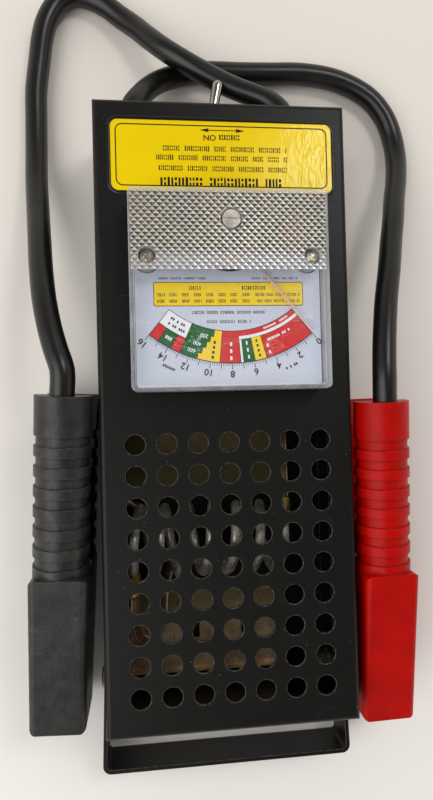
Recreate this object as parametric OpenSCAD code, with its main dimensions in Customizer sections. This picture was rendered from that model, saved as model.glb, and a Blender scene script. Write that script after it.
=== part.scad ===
// Battery load tester: a folded steel case with a panel meter, a toggle switch that puts a
// resistance coil across the battery, two heavy leads and two insulated spring clamps.
// X runs across the case, +Y towards the leads, +Z out of the face. The case lies on its back
// plate at z = 0, with the origin at the middle of that plate.

/* [Case] */
// Width over the case sides
case_w = 115.4; // [112:0.2:118]
// Length over the case ends
case_l = 284; // [276:1:292]
// Depth from back plate to face
case_d = 50; // [48:0.5:54]
// Thickness of the sheet steel
sheet_t = 1.2; // [1:0.1:1.4]
// Outer radius of the folded edges
bend_r = 2.4; // [2:0.1:3]
// Depth of the short lips folded over the case ends
lip_d = 10; // [8:0.5:11]
// Gap where one sheet slips inside another
sheet_gap = 0.3; // [0.2:0.05:0.4]
// Height of the side flanges of the back shell
flange_h = 18; // [16:0.5:20]

/* [Vents] */
// Vent holes across the face
vent_cols = 7; // [5:1:7]
// Vent holes along the face
vent_rows = 9; // [7:1:9]
// Distance between vent holes
vent_pitch = 14; // [13:0.5:14.5]
// Radius of a vent hole
vent_r = 4.5; // [3.5:0.25:5]
// Middle of the vent field, from the handle end of the case
vent_from_end = 73.5; // [72:0.5:76]

/* [Label] */
// Width of the instruction plate
label_w = 100.9; // [96:0.5:102]
// Height of the instruction plate
label_h = 31.9; // [28:0.5:32]
// Thickness of the instruction plate
label_t = 0.4; // [0.3:0.05:0.5]
// Corner radius of the instruction plate
label_r = 3; // [2:0.5:5]
// Depth of the recess pressed for the plate
recess_d = 0.5; // [0.4:0.05:0.7]
// Border left free around the plate in its recess
recess_gap = 1.2; // [0.6:0.1:1.6]
// Middle of the plate, from the lead end of the case
label_from_end = 25.2; // [24:0.2:26]

/* [Meter] */
// Side of the square meter
meter_w = 86.4; // [84:0.4:86.8]
// Middle of the meter, from the lead end of the case
meter_from_end = 88.4; // [88:0.2:90]
// Thickness of the meter's mounting flange
meter_flange_t = 4; // [3.4:0.2:5]
// Height of the clear cover over the flange
meter_cover_h = 12; // [10:0.25:12.5]
// Wall of the clear cover
meter_wall = 1.8; // [1.4:0.1:2.2]
// Corner radius of the meter
meter_r = 3; // [2:0.5:5]
// Outer radius of the barrel behind the panel
barrel_r = 33.6; // [33:0.2:34]
// Depth of the barrel behind the panel
barrel_depth = 24; // [22:0.5:25]
// Barrel axis, above the middle of the meter
barrel_up = 6.9; // [6.5:0.1:7.1]
// Pointer pivot, above the middle of the meter
pivot_up = 25.9; // [25.5:0.1:26]
// Length of the pointer from its pivot
pointer_l = 56; // [50:1:57]
// Swing of the pointer either side of the middle of the scale
pointer_swing = 40.5; // [38:0.5:42]
// Distance of each cover screw from the middle line
meter_screw_out = 35.6; // [35.5:0.1:36.5]
// Cover screws, above the middle of the meter
meter_screw_up = 14; // [12:0.5:18]
// Zero adjuster, above the middle of the meter
adjuster_up = 29.6; // [29.6:0.1:30.4]

/* [Toggle] */
// Toggle to one side of the middle line
toggle_x = -2; // [-3:0.5:2]
// Radius of the threaded bushing
bushing_r = 6; // [5.8:0.1:6.4]
// Length of the bushing outside the end wall
bushing_out = 9; // [8.5:0.5:10]
// Length of the bat outside the end wall
bat_l = 25.5; // [22:0.5:27]
// Radius of the bat at its tip
bat_tip_r = 2.8; // [2.4:0.1:3.2]
// Radius of the bat at its neck
bat_neck_r = 1.9; // [1.7:0.1:2.1]
// Lean of the bat at rest
bat_lean = 11; // [0:1:12]

/* [Handle] */
// Width of the handle strap
strap_w = 20; // [16:0.5:20]
// Thickness of the handle strap
strap_t = 2; // [1.6:0.1:2.2]
// Reach of the handle past the case end
handle_reach = 32; // [30:0.5:34]
// Splay of each handle arm from pivot to crossbar
arm_splay = 1.8; // [0:0.2:2]
// Pivot of the handle, from the case end
pivot_in = 11; // [10.5:0.5:13]
// Radius of the handle's shoulder screws
pivot_r = 3; // [2.5:0.1:3.5]
// Side gap between case and handle arm
arm_gap = 0.4; // [0.3:0.05:0.5]

/* [Load coil] */
// Turns of the load coil
coil_turns = 6; // [5:1:6]
// Distance between turns
coil_pitch = 11.75; // [11:0.25:12]
// Radius of a turn to the middle of the wire
coil_r = 15.5; // [14:0.5:16]
// Radius of the resistance wire
coil_wire_r = 2.3; // [2:0.1:2.5]
// Middle of the coil, from the handle end of the case
coil_from_end = 81.5; // [80:0.5:84]
// Radius of the brown feed wires
feed_r = 2.2; // [1.8:0.1:2.3]

/* [Leads] */
// Diameter of each lead
lead_d = 11; // [10:0.5:11.5]
// Height of the lead exits over the back plate
exit_z = 25; // [24:0.5:26]

/* [Clamps] */
// Length of a clamp grip from pivot to end
grip_l = 82; // [78:1:86]
// Radius of a grip
grip_r = 12.7; // [12:0.1:13]
// Length of the hood from pivot to tip
hood_l = 72; // [66:1:76]
// Width of the hood
hood_w = 25.5; // [24.6:0.1:25.6]
// Outer height of a grip end over the clamp's middle plane
grip_rise = 29.5; // [28.5:0.25:30]
// Outer height of the hood at the pivot
hood_rise = 26.2; // [25.8:0.1:26.6]
// Outer height of the hood at the tip
tip_rise = 15.5; // [14:0.5:17]
// Wall of the hood
hood_wall = 2.2; // [1.8:0.1:2.3]
// Grooves round each grip
grip_grooves = 7; // [5:1:7]
// Distance between grooves
groove_pitch = 9; // [8.6:0.1:9.2]
// Width of a groove
groove_w = 4.6; // [3.6:0.2:5]
// Depth of a groove
groove_d = 0.9; // [0.6:0.1:1.2]
// Smooth collar at the grip end
collar_l = 17.5; // [15:0.5:20]
// Radius of the clamp pin
pin_r = 2.5; // [2:0.1:2.8]
// Radius of the clamp's spring wire
spring_wire_r = 0.9; // [0.7:0.05:1]
// Distance between tooth tips
tooth_pitch = 4; // [3:0.5:5]

/* [Hidden] */
$fn = 40;

// General clearances
eps = 0.05;
cut = 1;
run_gap = 0.05;
seat_gap = 0.3;

// Case levels and edges
half_w = case_w/2;
end_y = case_l/2;
wall_out = end_y - sheet_t - sheet_gap;
wall_in = wall_out - sheet_t;
face_in = case_d - sheet_t;
shell_w = case_w - 2*sheet_t - 2*sheet_gap;
shell_in = shell_w/2 - sheet_t;
shell_r = 1.6;
vent_y = -end_y + vent_from_end;
label_x = 0.6;
label_y = end_y - label_from_end;
screw_ys = [-end_y + 47, 18, end_y - 24];
screw_z = 9;
screw_r = 1.5;

// Meter levels
meter_x = 0.7;
meter_y = end_y - meter_from_end;
barrel_y = meter_y + barrel_up;
flange_top = case_d + meter_flange_t;
cover_top = flange_top + meter_cover_h;
pivot_x = meter_x + 0.6;
pivot_y = meter_y + pivot_up;
dial_z = flange_top + 2;
dial_top = 17;
dial_t = 0.8;
barrel_wall = 1.8;
stud_off = 36;
yoke_r = 11.5;
yoke_in = 9.4;
core_r = 6.2;
yoke_z = case_d - 10;
yoke_h = 10;
staff_r = 0.8;
bridge_t = 1.5;
bridge_gap = 3;
frame_gap = 0.6;
frame_t = 1;
needle_z = dial_z + dial_t + 1.4;
needle_t = 0.4;

// Toggle levels
toggle_y = wall_out + 2.5;
body_w = 32;
body_l = 27.3;
body_h = 24;
body_wall = 2;
body_back = wall_in - body_l;
tab_x = 10;
tab_w = 8;
tab_t = 1.5;
tab_l = 14;
tab_z = exit_z - tab_t;
tab_hole_y = body_back - 8;

// Handle levels
handle_y = -end_y + pivot_in;
handle_z = strap_w/2 + seat_gap;
arm_in = half_w + arm_gap;
bar_y = -end_y - handle_reach;

// Load coil levels
coil_y = -end_y + coil_from_end;
coil_z = case_d/2;
coil_x = -44.2;
coil_end_x = coil_x + coil_turns*coil_pitch;
coil_stub = 2*coil_r - 20;
ferrule_l = 10;
coil_top = coil_z + coil_r;

// Lead lugs, posts and grommets
post_y = end_y - 33;
black_post = [half_w - 15.2, post_y];
red_post = [-half_w + 12.2, post_y];
post_r = 6;
palm_t = 2;
palm_z = exit_z - palm_t;
lug_l = 14;
lug_r = lead_d/2 + 1.3;
lug_end = wall_in - 10.3;
bolt_r = 2.4;
nut_h = 3.5;
black_grommet_x = half_w - 19;
red_grommet_x = -half_w + 13.7;
grommet_neck_r = lead_d/2 + 2.6;
grommet_flange_r = grommet_neck_r + 1.8;

// Clamp angles and levels in the clamp's own frame: the pin at the origin, the grip towards +Y
hood_step = 0.8;
grip_up = hood_rise - hood_step - grip_r;
grip_angle = atan((grip_rise - grip_r - grip_up)/grip_l);
part_angle = 9.35;
part_gap = 0.3;
hood_back = 1.5;
hood_angle = atan((hood_rise - tip_rise)/(hood_l + hood_back));
clamp_tilt = atan((grip_rise - hood_rise)/(grip_l - hood_back));
clamp_z = hood_rise*cos(clamp_tilt) - hood_back*sin(clamp_tilt);
lead_up = 4.7;
ear_r = 6;
jaw_t = 1.2;
jaw_out = hood_w/2 - hood_wall - seat_gap;
jaw_in = jaw_out - jaw_t - 0.4;
pin_head_r = 3.6;
arm_l = 45;
spring_turns = 4;
spring_pitch = 2.35;
spring_r = pin_r + spring_wire_r + 1.2;
spring_leg = 20;
leg_room = spring_r + spring_wire_r + 0.9;

// Where each lead enters its clamp, seen from above, and how each clamp is turned
black_entry = [-73, 10];
red_entry = [73, 4];
black_yaw = -2.7;
red_yaw = 1.1;

// The lead's entry in the clamp's own frame, and its height on the table
entry_y = grip_l*cos(grip_angle) - lead_up*sin(grip_angle);
entry_w = grip_up + grip_l*sin(grip_angle) + lead_up*cos(grip_angle);
entry_flat = entry_y*cos(clamp_tilt) - entry_w*sin(clamp_tilt);
entry_z = clamp_z + entry_y*sin(clamp_tilt) + entry_w*cos(clamp_tilt);
entry_angle = grip_angle + clamp_tilt;

// A direction a given way round in plan and up from the table
function heading(turn, up) = [-sin(turn)*cos(up), cos(turn)*cos(up), sin(up)];
function clamp_pin_at(entry, yaw) =
    [entry.x + entry_flat*sin(yaw), entry.y - entry_flat*cos(yaw), clamp_z];

// Lead routes, from the case to the clamp
black_exit = [black_grommet_x - 2.7, end_y + 5.5, 24];
red_exit = [red_grommet_x + 2, end_y + 5.5, 24.6];
black_route = concat([
    black_exit, [33.3, 152.5, 23.6], [29, 157.2, 22], [22.5, 161, 20.3], [14.5, 164.5, 19],
    [6.5, 168, 18.4], [-1, 171.6, 18.4], [-8.5, 175.5, 18.5], [-16, 180, 18],
    [-23.5, 185.5, 16.5], [-31, 193, 13], [-38, 201, 9], [-46, 208, 6.5], [-53.5, 214, 5.6],
    [-61, 217.5, 5.6], [-69, 218.5, 5.6], [-77, 214.5, 5.6], [-83, 205, 5.6],
    [-85.7, 195, 5.6], [-87.2, 184, 5.6], [-89.2, 168, 5.6], [-89.5, 153, 5.6],
    [-89.5, 137, 6.8], [-89, 120, 11], [-87.3, 102, 18.5], [-85.2, 85, 28],
    [-83.2, 68, 36.5], [-81, 53.5, 43], [-78, 39.5, 47.8], [-75.3, 30, 50.2]],
    [for (d = [11, 0]) [each black_entry, entry_z] + d*heading(black_yaw, entry_angle)]);
red_route = concat([
    red_exit, [-39.9, 152.5, 24.2], [-36.6, 158.5, 20.8], [-32.5, 165.5, 15.5],
    [-26.5, 172.5, 10], [-18, 177.5, 6.8], [-7.5, 180.5, 5.6], [4.5, 181, 5.6],
    [17, 181, 5.6], [33, 181.5, 5.6], [49.5, 182, 5.6], [66.5, 180, 5.6], [79, 175.5, 5.6],
    [89, 169, 5.6], [96.5, 159, 5.6], [100.5, 147.5, 5.6], [101, 135, 8],
    [98.5, 122.5, 13], [94.5, 109.5, 19], [91, 97, 25], [87.5, 85, 30], [83, 69, 37],
    [78.5, 53, 43], [75.6, 39, 47.3], [73.9, 28, 50]],
    [for (d = [11, 0]) [each red_entry, entry_z] + d*heading(red_yaw, entry_angle)]);

// Routes of the leads inside the case
black_tail = [
    black_exit, [black_exit.x + 3.2, end_y - 0.4, 24.5], [black_post.x - 0.8, end_y - 6, exit_z],
    [black_post.x, lug_end + 3, exit_z], [black_post.x, lug_end, exit_z]];
red_tail = [
    red_exit, [red_exit.x - 2.3, end_y, exit_z], [red_post.x + 0.1, end_y - 6, exit_z],
    [red_post.x, lug_end + 3, exit_z], [red_post.x, lug_end, exit_z]];

// Sheet shields under the coil
shield_z = 3;
shield_t = 0.8;
shield_left = -shell_in + 7;

// Routes of the brown wires and of the thin meter wires
wire_x = -shell_in + feed_r + 0.8;
wire_z = sheet_t + feed_r + 0.2;
feed_x = shell_in - 29;
ring_reach = 14;
ring_z = exit_z + 0.8;
// Y at a share of the way from the coil to the meter's barrel
function share_y(f) = coil_y + f*(barrel_y - coil_y);
feed_start = [toggle_x + tab_x + ring_reach, tab_hole_y, ring_z];
feed_route = [
    feed_start, feed_start + [3, 0, 0], feed_start + [5.3, -2.2, -4.8],
    feed_start + [5, -8, -11.8], [feed_x, share_y(1.21), 9.8], [feed_x, share_y(1.08), 9],
    [feed_x + 1, share_y(0.91), 7], [feed_x + 3, share_y(0.73), 10],
    [coil_end_x - 1.5, share_y(0.6), 22],
    [coil_end_x - 0.5, share_y(0.5), 33], [coil_end_x, share_y(0.4), 39],
    [coil_end_x, share_y(0.285), coil_top],
    [coil_end_x, coil_y + coil_stub + ferrule_l, coil_top]];
return_start = [black_post.x, post_y - ring_reach, ring_z];
return_route = [
    return_start, return_start + [0, -4, 0], return_start + [-0.5, -9, -3.8],
    return_start + [-2, -15, -13.8], return_start + [-8.5, -21, -21.6],
    [18, post_y - 39, wire_z], [-6, post_y - 41, wire_z], [-30, post_y - 45, wire_z],
    [wire_x + 7, post_y - 55, wire_z], [wire_x + 0.5, share_y(0.81), wire_z],
    [wire_x, share_y(0.63), wire_z], [wire_x, share_y(0.45), wire_z],
    [wire_x, vent_y + 40.5, wire_z], [wire_x + 0.5, vent_y + 30.5, wire_z],
    [wire_x + 5, vent_y + 23.5, wire_z], [-38, vent_y + 19, wire_z],
    [-28, vent_y + 15.5, wire_z], [-20.5, vent_y + 10.5, wire_z],
    [-18.5, vent_y + 4.5, wire_z], [-21, vent_y - 2.5, 4.2], [-26.5, vent_y - 11.5, 7],
    [-29.5, vent_y - 21.5, 12], [-31, vent_y - 31.5, 20], [-36, vent_y - 37.5, 29],
    [-42, vent_y - 33.5, 36], [coil_x, coil_y - 32.5, coil_top],
    [coil_x, coil_y - coil_stub - ferrule_l, coil_top]];
right_tab = [meter_x + 15.8, barrel_y + 5.6, 20.6];
left_tab = [meter_x - 15.7, barrel_y + 5.6, 20.6];
sense_routes = [
    [right_tab, right_tab + [0.3, 2.9, -0.6], right_tab + [3.5, 8.9, -4.6],
        right_tab + [10.5, 15.9, -5.6], [black_post.x - 7, post_y - 19, 15],
        [black_post.x - 6, post_y - 11.5, 18], [black_post.x - 6.5, post_y - 8, 23.5],
        [black_post.x - 6.3, post_y - 6, 26.8], [black_post.x - 5.4, post_y - 3.4, 27],
        [black_post.x - 4.5, post_y - 1.8, 26.4]],
    [left_tab, left_tab + [-0.5, 2.9, -0.6], left_tab + [-5, 10.9, -8.6],
        left_tab + [-12, 20.9, -8.6], [red_post.x + 12.5, post_y - 15, 18],
        [red_post.x + 11.5, post_y - 11, 23.5], [red_post.x + 11.5, post_y - 7.1, 25.8]]];

function unit(v) = v/norm(v);
function course(path, i) =
    unit(path[min(i + 1, len(path) - 1)] - path[max(i - 1, 0)]);
// Sideways directions along a path, each carried on from the last without twist
function carried(path, i = 0, last = undef) =
    let (
        t = course(path, i),
        start = abs(t.z) < 0.9 ? cross(t, [0, 0, 1]) : cross(t, [1, 0, 0]),
        guess = is_undef(last) ? start : last,
        side = unit(guess - (guess*t)*t)
    )
    i == len(path) - 1 ? [side] : concat([side], carried(path, i + 1, side));
function path_length(path) =
    len(path) < 2 ? 0 : norm(path[1] - path[0]) + path_length([for (i = [1:len(path) - 1]) path[i]]);

// A round tube of one radius swept along the points of a path
module swept_tube(path, r, sides) {
    rings = len(path);
    side_ways = carried(path);
    points = [
        for (i = [0:rings - 1])
            let (t = course(path, i), a = side_ways[i], b = cross(t, a))
            for (k = [0:sides - 1])
                path[i] + r*(cos(360*k/sides)*a + sin(360*k/sides)*b)
    ];
    walls = [
        for (i = [0:rings - 2], k = [0:sides - 1])
            let (low = i*sides, high = low + sides, next = (k + 1)%sides)
            each [[low + k, high + k, high + next], [low + k, high + next, low + next]]
    ];
    start_cap = [for (k = [1:sides - 2]) [0, k, k + 1]];
    last = (rings - 1)*sides;
    end_cap = [for (k = [1:sides - 2]) [last, last + k + 1, last + k]];
    polyhedron(points, concat(walls, start_cap, end_cap), convexity = 8);
}

// A rectangle with round corners, as plain squares and circles
module round_rect(w, h, r) {
    square([w - 2*r, h], center = true);
    square([w, h - 2*r], center = true);
    for (x = [-1, 1], y = [-1, 1])
        translate([x*(w/2 - r), y*(h/2 - r)])
            circle(r);
}

// A profile on the X axis with its two upper corners rounded
module top_round(w, h, r) {
    translate([-w/2, 0])
        square([w, h - r]);
    translate([-w/2 + r, 0])
        square([w - 2*r, h]);
    for (x = [-1, 1])
        translate([x*(w/2 - r), h - r])
            circle(r);
}

// A block on z = 0 whose four upper edges are rounded like folded sheet
module folded_block(w, l, h, r) {
    intersection() {
        translate([0, l/2, 0])
            rotate([90, 0, 0])
                linear_extrude(l)
                    top_round(w, h, r);
        translate([-w/2, 0, 0])
            rotate([90, 0, 90])
                linear_extrude(w)
                    top_round(l, h, r);
    }
}

module rod_x(r, x0, x1) {
    translate([x0, 0, 0])
        rotate([0, 90, 0])
            cylinder(r = r, h = x1 - x0);
}

module rod_y(r, y0, y1) {
    translate([0, y0, 0])
        rotate([-90, 0, 0])
            cylinder(r = r, h = y1 - y0);
}

// A low domed screw head, standing out along X
module domed_head(r, h) {
    rotate([0, 90, 0])
        rotate_extrude()
            polygon([[0, 0], [r, 0], [r, 0.35*h], [0.94*r, 0.6*h], [0.8*r, 0.8*h],
                [0.55*r, 0.95*h], [0.3*r, h], [0, h]]);
}

module slab(x, y, z) {
    translate([x[0], y[0], z[0]])
        cube([x[1] - x[0], y[1] - y[0], z[1] - z[0]]);
}

// Sheet metal case

module handle_pivot_places() {
    for (s = [-1, 1])
        translate([0, handle_y, handle_z])
            mirror([s < 0 ? 1 : 0, 0, 0])
                children();
}

module front_cover() {
    color([0.13, 0.13, 0.13])
        difference() {
            union() {
                difference() {
                    folded_block(case_w, case_l, case_d, bend_r);
                    translate([0, 0, -cut])
                        folded_block(case_w - 2*sheet_t, case_l - 2*sheet_t, face_in + cut,
                            bend_r - sheet_t);
                    for (s = [-1, 1])
                        slab([-half_w + sheet_t, half_w - sheet_t],
                            s < 0 ? [-end_y - cut, -end_y + sheet_t + cut]
                                : [end_y - sheet_t - cut, end_y + cut],
                            [-cut, case_d - lip_d]);
                }
                translate([label_x, label_y, face_in - recess_d])
                    linear_extrude(recess_d + eps)
                        round_rect(label_w + 2*recess_gap + 2*sheet_t,
                            label_h + 2*recess_gap + 2*sheet_t, label_r + recess_gap + sheet_t);
            }
            translate([label_x, label_y, case_d - recess_d])
                linear_extrude(recess_d + cut)
                    round_rect(label_w + 2*recess_gap, label_h + 2*recess_gap,
                        label_r + recess_gap);
            for (i = [0:vent_cols - 1], j = [0:vent_rows - 1])
                translate([(i - (vent_cols - 1)/2)*vent_pitch,
                    vent_y + (j - (vent_rows - 1)/2)*vent_pitch, face_in - cut])
                    cylinder(r = vent_r, h = sheet_t + 2*cut);
            translate([meter_x, barrel_y, face_in - cut])
                cylinder(r = barrel_r + 0.4, h = sheet_t + 2*cut);
            for (s = [-1, 1], t = [-1, 1])
                translate([meter_x + s*stud_off, meter_y + t*stud_off, face_in - cut])
                    cylinder(r = 2.1, h = sheet_t + 2*cut);
            for (s = [-1, 1], y = screw_ys)
                translate([s*half_w, y, screw_z])
                    rod_x(screw_r + 0.3, -sheet_t - cut, sheet_t + cut);
            for (s = [-1, 1])
                translate([s*half_w, handle_y, handle_z])
                    rod_x(pivot_r + run_gap, -sheet_t - cut, sheet_t + cut);
        }
}

module back_cover() {
    shell_l = 2*wall_out;
    shell_h = face_in - 2*sheet_gap;
    color([0.12, 0.12, 0.12])
        difference() {
            translate([0, 0, shell_h])
                mirror([0, 0, 1])
                    folded_block(shell_w, shell_l, shell_h, shell_r);
            translate([0, 0, shell_h + cut])
                mirror([0, 0, 1])
                    folded_block(shell_w - 2*sheet_t, shell_l - 2*sheet_t,
                        shell_h + cut - sheet_t, shell_r - sheet_t);
            for (s = [-1, 1])
                slab(s < 0 ? [-shell_w/2 - cut, -shell_in + eps] : [shell_in - eps, shell_w/2 + cut],
                    [-wall_in, wall_in], [flange_h, shell_h + cut]);
            translate([toggle_x, 0, exit_z])
                rod_y(bushing_r + 0.2, wall_in - cut, wall_out + cut);
            for (x = [black_grommet_x, red_grommet_x])
                translate([x, 0, exit_z])
                    rod_y(grommet_neck_r, wall_in - cut, wall_out + cut);
            for (s = [-1, 1], y = screw_ys)
                translate([s*shell_in, y, screw_z])
                    rod_x(screw_r + run_gap, -2*sheet_t, 2*sheet_t);
            for (s = [-1, 1])
                translate([s*shell_in, handle_y, handle_z])
                    rod_x(pivot_r + run_gap, -2*sheet_t, 2*sheet_t);
        }
}

module cover_screws() {
    color([0.2, 0.2, 0.2])
        for (s = [-1, 1], y = screw_ys)
            translate([0, y, screw_z])
                mirror([s < 0 ? 1 : 0, 0, 0]) {
                    rod_x(screw_r, half_w - 8, half_w + eps);
                    translate([half_w, 0, 0])
                        domed_head(3.2, 1.6);
                }
}

module label_plate() {
    color([0.9, 0.78, 0.05])
        translate([label_x, label_y, case_d - recess_d])
            linear_extrude(label_t)
                round_rect(label_w, label_h, label_r);
}

// Load circuit

module shield_panel(x, y) {
    slab(x, y, [shield_z, shield_z + shield_t]);
    for (e = x)
        slab(e < 0 ? [e, e + shield_t] : [e - shield_t, e], y, [sheet_t, shield_z + shield_t]);
}

module upper_shield() {
    color([0.45, 0.36, 0.2])
        shield_panel([shield_left, shell_in - 18], [vent_y + 2.2*vent_pitch, vent_y + 4.6*vent_pitch]);
}

module lower_shield() {
    low = -end_y + 9;
    right = shell_in - 24;
    color([0.45, 0.36, 0.2])
        difference() {
            union() {
                shield_panel([shield_left, right], [low, vent_y - 1.7*vent_pitch]);
                slab([shield_left, right], [low, low + shield_t], [shield_z, 7]);
            }
            for (x = [-1.07*vent_pitch, 0.93*vent_pitch])
                slab([x - 3, x + 3], [low + 16, low + 27], [shield_z - cut, shield_z + 2*cut]);
        }
}

// Points of the load coil: a straight end, the turns, and a straight end
coil_path = concat(
    [[coil_x, coil_y - coil_stub, coil_top]],
    [for (k = [0:24*coil_turns])
        [coil_x + coil_pitch*k/24, coil_y + coil_r*sin(15*k), coil_z + coil_r*cos(15*k)]],
    [[coil_end_x, coil_y + coil_stub, coil_top]]);
// Least gap between parts of a tube that lie more than half a turn apart
function least_gap(path, r, apart) =
    min([for (i = [0:len(path) - 1], j = [0:len(path) - 1])
        if (j >= i + apart) norm(path[j] - path[i])]) - 2*r;
echo(coil_least_gap = least_gap(coil_path, coil_wire_r, 14));

module load_coil() {
    color([0.5, 0.48, 0.45])
        swept_tube(coil_path, coil_wire_r, 6);
}

module feed_wire() {
    color([0.35, 0.18, 0.08])
        swept_tube(feed_route, feed_r, 8);
}

module return_wire() {
    color([0.35, 0.18, 0.08])
        swept_tube(return_route, feed_r, 8);
}

module wire_ferrules() {
    color([0.72, 0.58, 0.3]) {
        translate([coil_end_x, 0, coil_top])
            rod_y(coil_wire_r + 0.9, coil_y + coil_stub, coil_y + coil_stub + ferrule_l);
        translate([coil_x, 0, coil_top])
            rod_y(coil_wire_r + 0.9, coil_y - coil_stub - ferrule_l, coil_y - coil_stub);
    }
}

module ceramic_posts() {
    color([0.85, 0.83, 0.78])
        for (p = [black_post, red_post])
            translate([p.x, p.y, sheet_t])
                difference() {
                    union() {
                        cylinder(r = post_r, h = palm_z - sheet_t);
                        cylinder(r = post_r + 2, h = 3);
                    }
                    translate([0, 0, palm_z - sheet_t - 12])
                        cylinder(r = bolt_r + run_gap, h = 12 + cut);
                }
}

// Bolts at the two posts and at the two switch tabs
module terminal_bolts() {
    stacks = [
        [black_post.x, black_post.y, palm_z - 11, exit_z + tab_t],
        [red_post.x, red_post.y, palm_z - 11, exit_z + tab_t],
        [toggle_x - tab_x, tab_hole_y, tab_z - 2.5, exit_z + tab_t],
        [toggle_x + tab_x, tab_hole_y, tab_z - 2.5, exit_z + tab_t]];
    color([0.75, 0.63, 0.32])
        for (s = stacks)
            translate([s[0], s[1], 0]) {
                translate([0, 0, s[2]])
                    cylinder(r = bolt_r, h = s[3] + nut_h + 2 - s[2]);
                translate([0, 0, s[3]])
                    cylinder(r = 4.6, h = nut_h, $fn = 6);
            }
    color([0.75, 0.63, 0.32])
        for (x = [toggle_x - tab_x, toggle_x + tab_x])
            translate([x, tab_hole_y, tab_z - 2.5])
                cylinder(r = 3.8, h = 2.5);
}

module bus_bar() {
    from = red_post;
    to = [toggle_x - tab_x, tab_hole_y];
    run = norm(to - from);
    turn = atan2(to.y - from.y, to.x - from.x);
    color([0.72, 0.42, 0.25])
        translate([from.x, from.y, exit_z])
            rotate([0, 0, turn])
                difference() {
                    translate([run/2, 0, 0])
                        linear_extrude(tab_t)
                            round_rect(run + 10, 10, 4);
                    for (x = [0, run])
                        translate([x, 0, -cut])
                            cylinder(r = bolt_r + run_gap, h = tab_t + 2*cut);
                }
}

// Ring terminals that end the brown wires, each turned the way its wire leaves
module ring_terminals() {
    color([0.75, 0.7, 0.62])
        for (p = [[black_post.x, black_post.y, 0], [toggle_x + tab_x, tab_hole_y, 90]])
            translate([p[0], p[1], exit_z])
                rotate([0, 0, p[2]])
                    difference() {
                        union() {
                            cylinder(r = 4.8, h = tab_t);
                            slab([-3, 3], [-9, 0], [0, tab_t]);
                            translate([0, 0, 0.8])
                                rod_y(feed_r + 0.7, -ring_reach, -6);
                        }
                        translate([0, 0, -cut])
                            cylinder(r = bolt_r + run_gap, h = tab_t + 2*cut);
                        slab([-6, 6], [-8, 6], [-4, 0]);
                        slab([-6, 6], [-8, 6], [tab_t, 8]);
                    }
}

module lead_lugs() {
    color([0.8, 0.62, 0.4])
        for (p = [black_post, red_post])
            translate([p.x, p.y, exit_z])
                difference() {
                    union() {
                        rod_y(lug_r, lug_end - lug_l - p.y, lug_end - p.y);
                        slab([-6.5, 6.5], [-6, lug_end - lug_l - p.y + 2], [-palm_t, 0]);
                    }
                    translate([0, 0, -palm_t - cut])
                        cylinder(r = bolt_r + run_gap, h = palm_t + 2*cut);
                }
}

module lead_tails() {
    color([0.1, 0.1, 0.1])
        for (tail = [black_tail, red_tail])
            swept_tube(tail, lead_d/2, 10);
}

module lead_grommets() {
    color([0.09, 0.09, 0.09])
        for (x = [black_grommet_x, red_grommet_x])
            translate([x, 0, exit_z])
                rotate([-90, 0, 0])
                    rotate_extrude()
                        polygon([
                            [lead_d/2 + 0.2, wall_in - 2.2], [grommet_flange_r, wall_in - 2.2],
                            [grommet_flange_r, wall_in - 0.1], [grommet_neck_r - 0.1, wall_in - 0.1],
                            [grommet_neck_r - 0.1, wall_out + 0.1],
                            [grommet_flange_r, wall_out + 0.1],
                            [grommet_flange_r - 0.5, wall_out + 2], [lead_d/2 + 1.8, wall_out + 3],
                            [lead_d/2 + 0.8, wall_out + 3], [lead_d/2 + 0.2, wall_out + 1.6]]);
}

// Toggle switch, with its axis along Y

module toggle_body() {
    color([0.1, 0.1, 0.11])
        translate([toggle_x, 0, exit_z])
            difference() {
                slab([-body_w/2, body_w/2], [body_back, wall_in], [-body_h/2, body_h/2]);
                slab([-body_w/2 + body_wall, body_w/2 - body_wall],
                    [body_back + body_wall, wall_in - body_wall],
                    [-body_h/2 + body_wall, body_h/2 - body_wall]);
                rod_y(bushing_r + 0.1, wall_in - body_wall - cut, wall_in + cut);
                for (s = [-1, 1])
                    slab([s*tab_x - tab_w/2 - 0.1, s*tab_x + tab_w/2 + 0.1],
                        [body_back - cut, body_back + body_wall + cut], [-tab_t - 0.1, 0.1]);
            }
}

module toggle_bushing() {
    base = wall_in - body_wall;
    tip = wall_out + bushing_out;
    flange_in = base - 2;
    color([0.82, 0.83, 0.85])
        translate([toggle_x, 0, exit_z])
            rotate([-90, 0, 0])
                rotate_extrude()
                    polygon([
                        [4.7, flange_in], [8, flange_in], [8, base], [bushing_r, base],
                        [bushing_r, tip - 0.6], [bushing_r - 0.6, tip], [5, tip],
                        [3.6, toggle_y + 3.4], [3.6, toggle_y - 3.4], [4.7, toggle_y - 6]]);
}

module toggle_nut() {
    color([0.8, 0.81, 0.83])
        translate([toggle_x, 0, exit_z])
            difference() {
                union() {
                    rod_y(9.6, wall_out, wall_out + 1);
                    rotate([0, 30, 0])
                        rotate([-90, 0, 0])
                            translate([0, 0, wall_out + 1])
                                cylinder(r = 9.2, h = 3, $fn = 6);
                }
                rod_y(bushing_r + run_gap, wall_out - cut, wall_out + 5);
            }
}

module toggle_terminals() {
    color([0.78, 0.66, 0.35])
        for (s = [-1, 1])
            translate([toggle_x + s*tab_x, 0, exit_z])
                difference() {
                    union() {
                        slab([-tab_w/2, tab_w/2], [body_back - tab_l, body_back + 8], [-tab_t, 0]);
                        slab(s < 0 ? [-tab_w/2, 1.7] : [-1.7, tab_w/2],
                            [body_back + 6, body_back + 15], [-tab_t, 3]);
                    }
                    translate([0, tab_hole_y, -tab_t - cut])
                        cylinder(r = bolt_r + run_gap, h = tab_t + 2*cut);
                }
}

module toggle_frame() {
    translate([toggle_x, toggle_y, exit_z])
        rotate([0, 0, -bat_lean])
            children();
}

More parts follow.
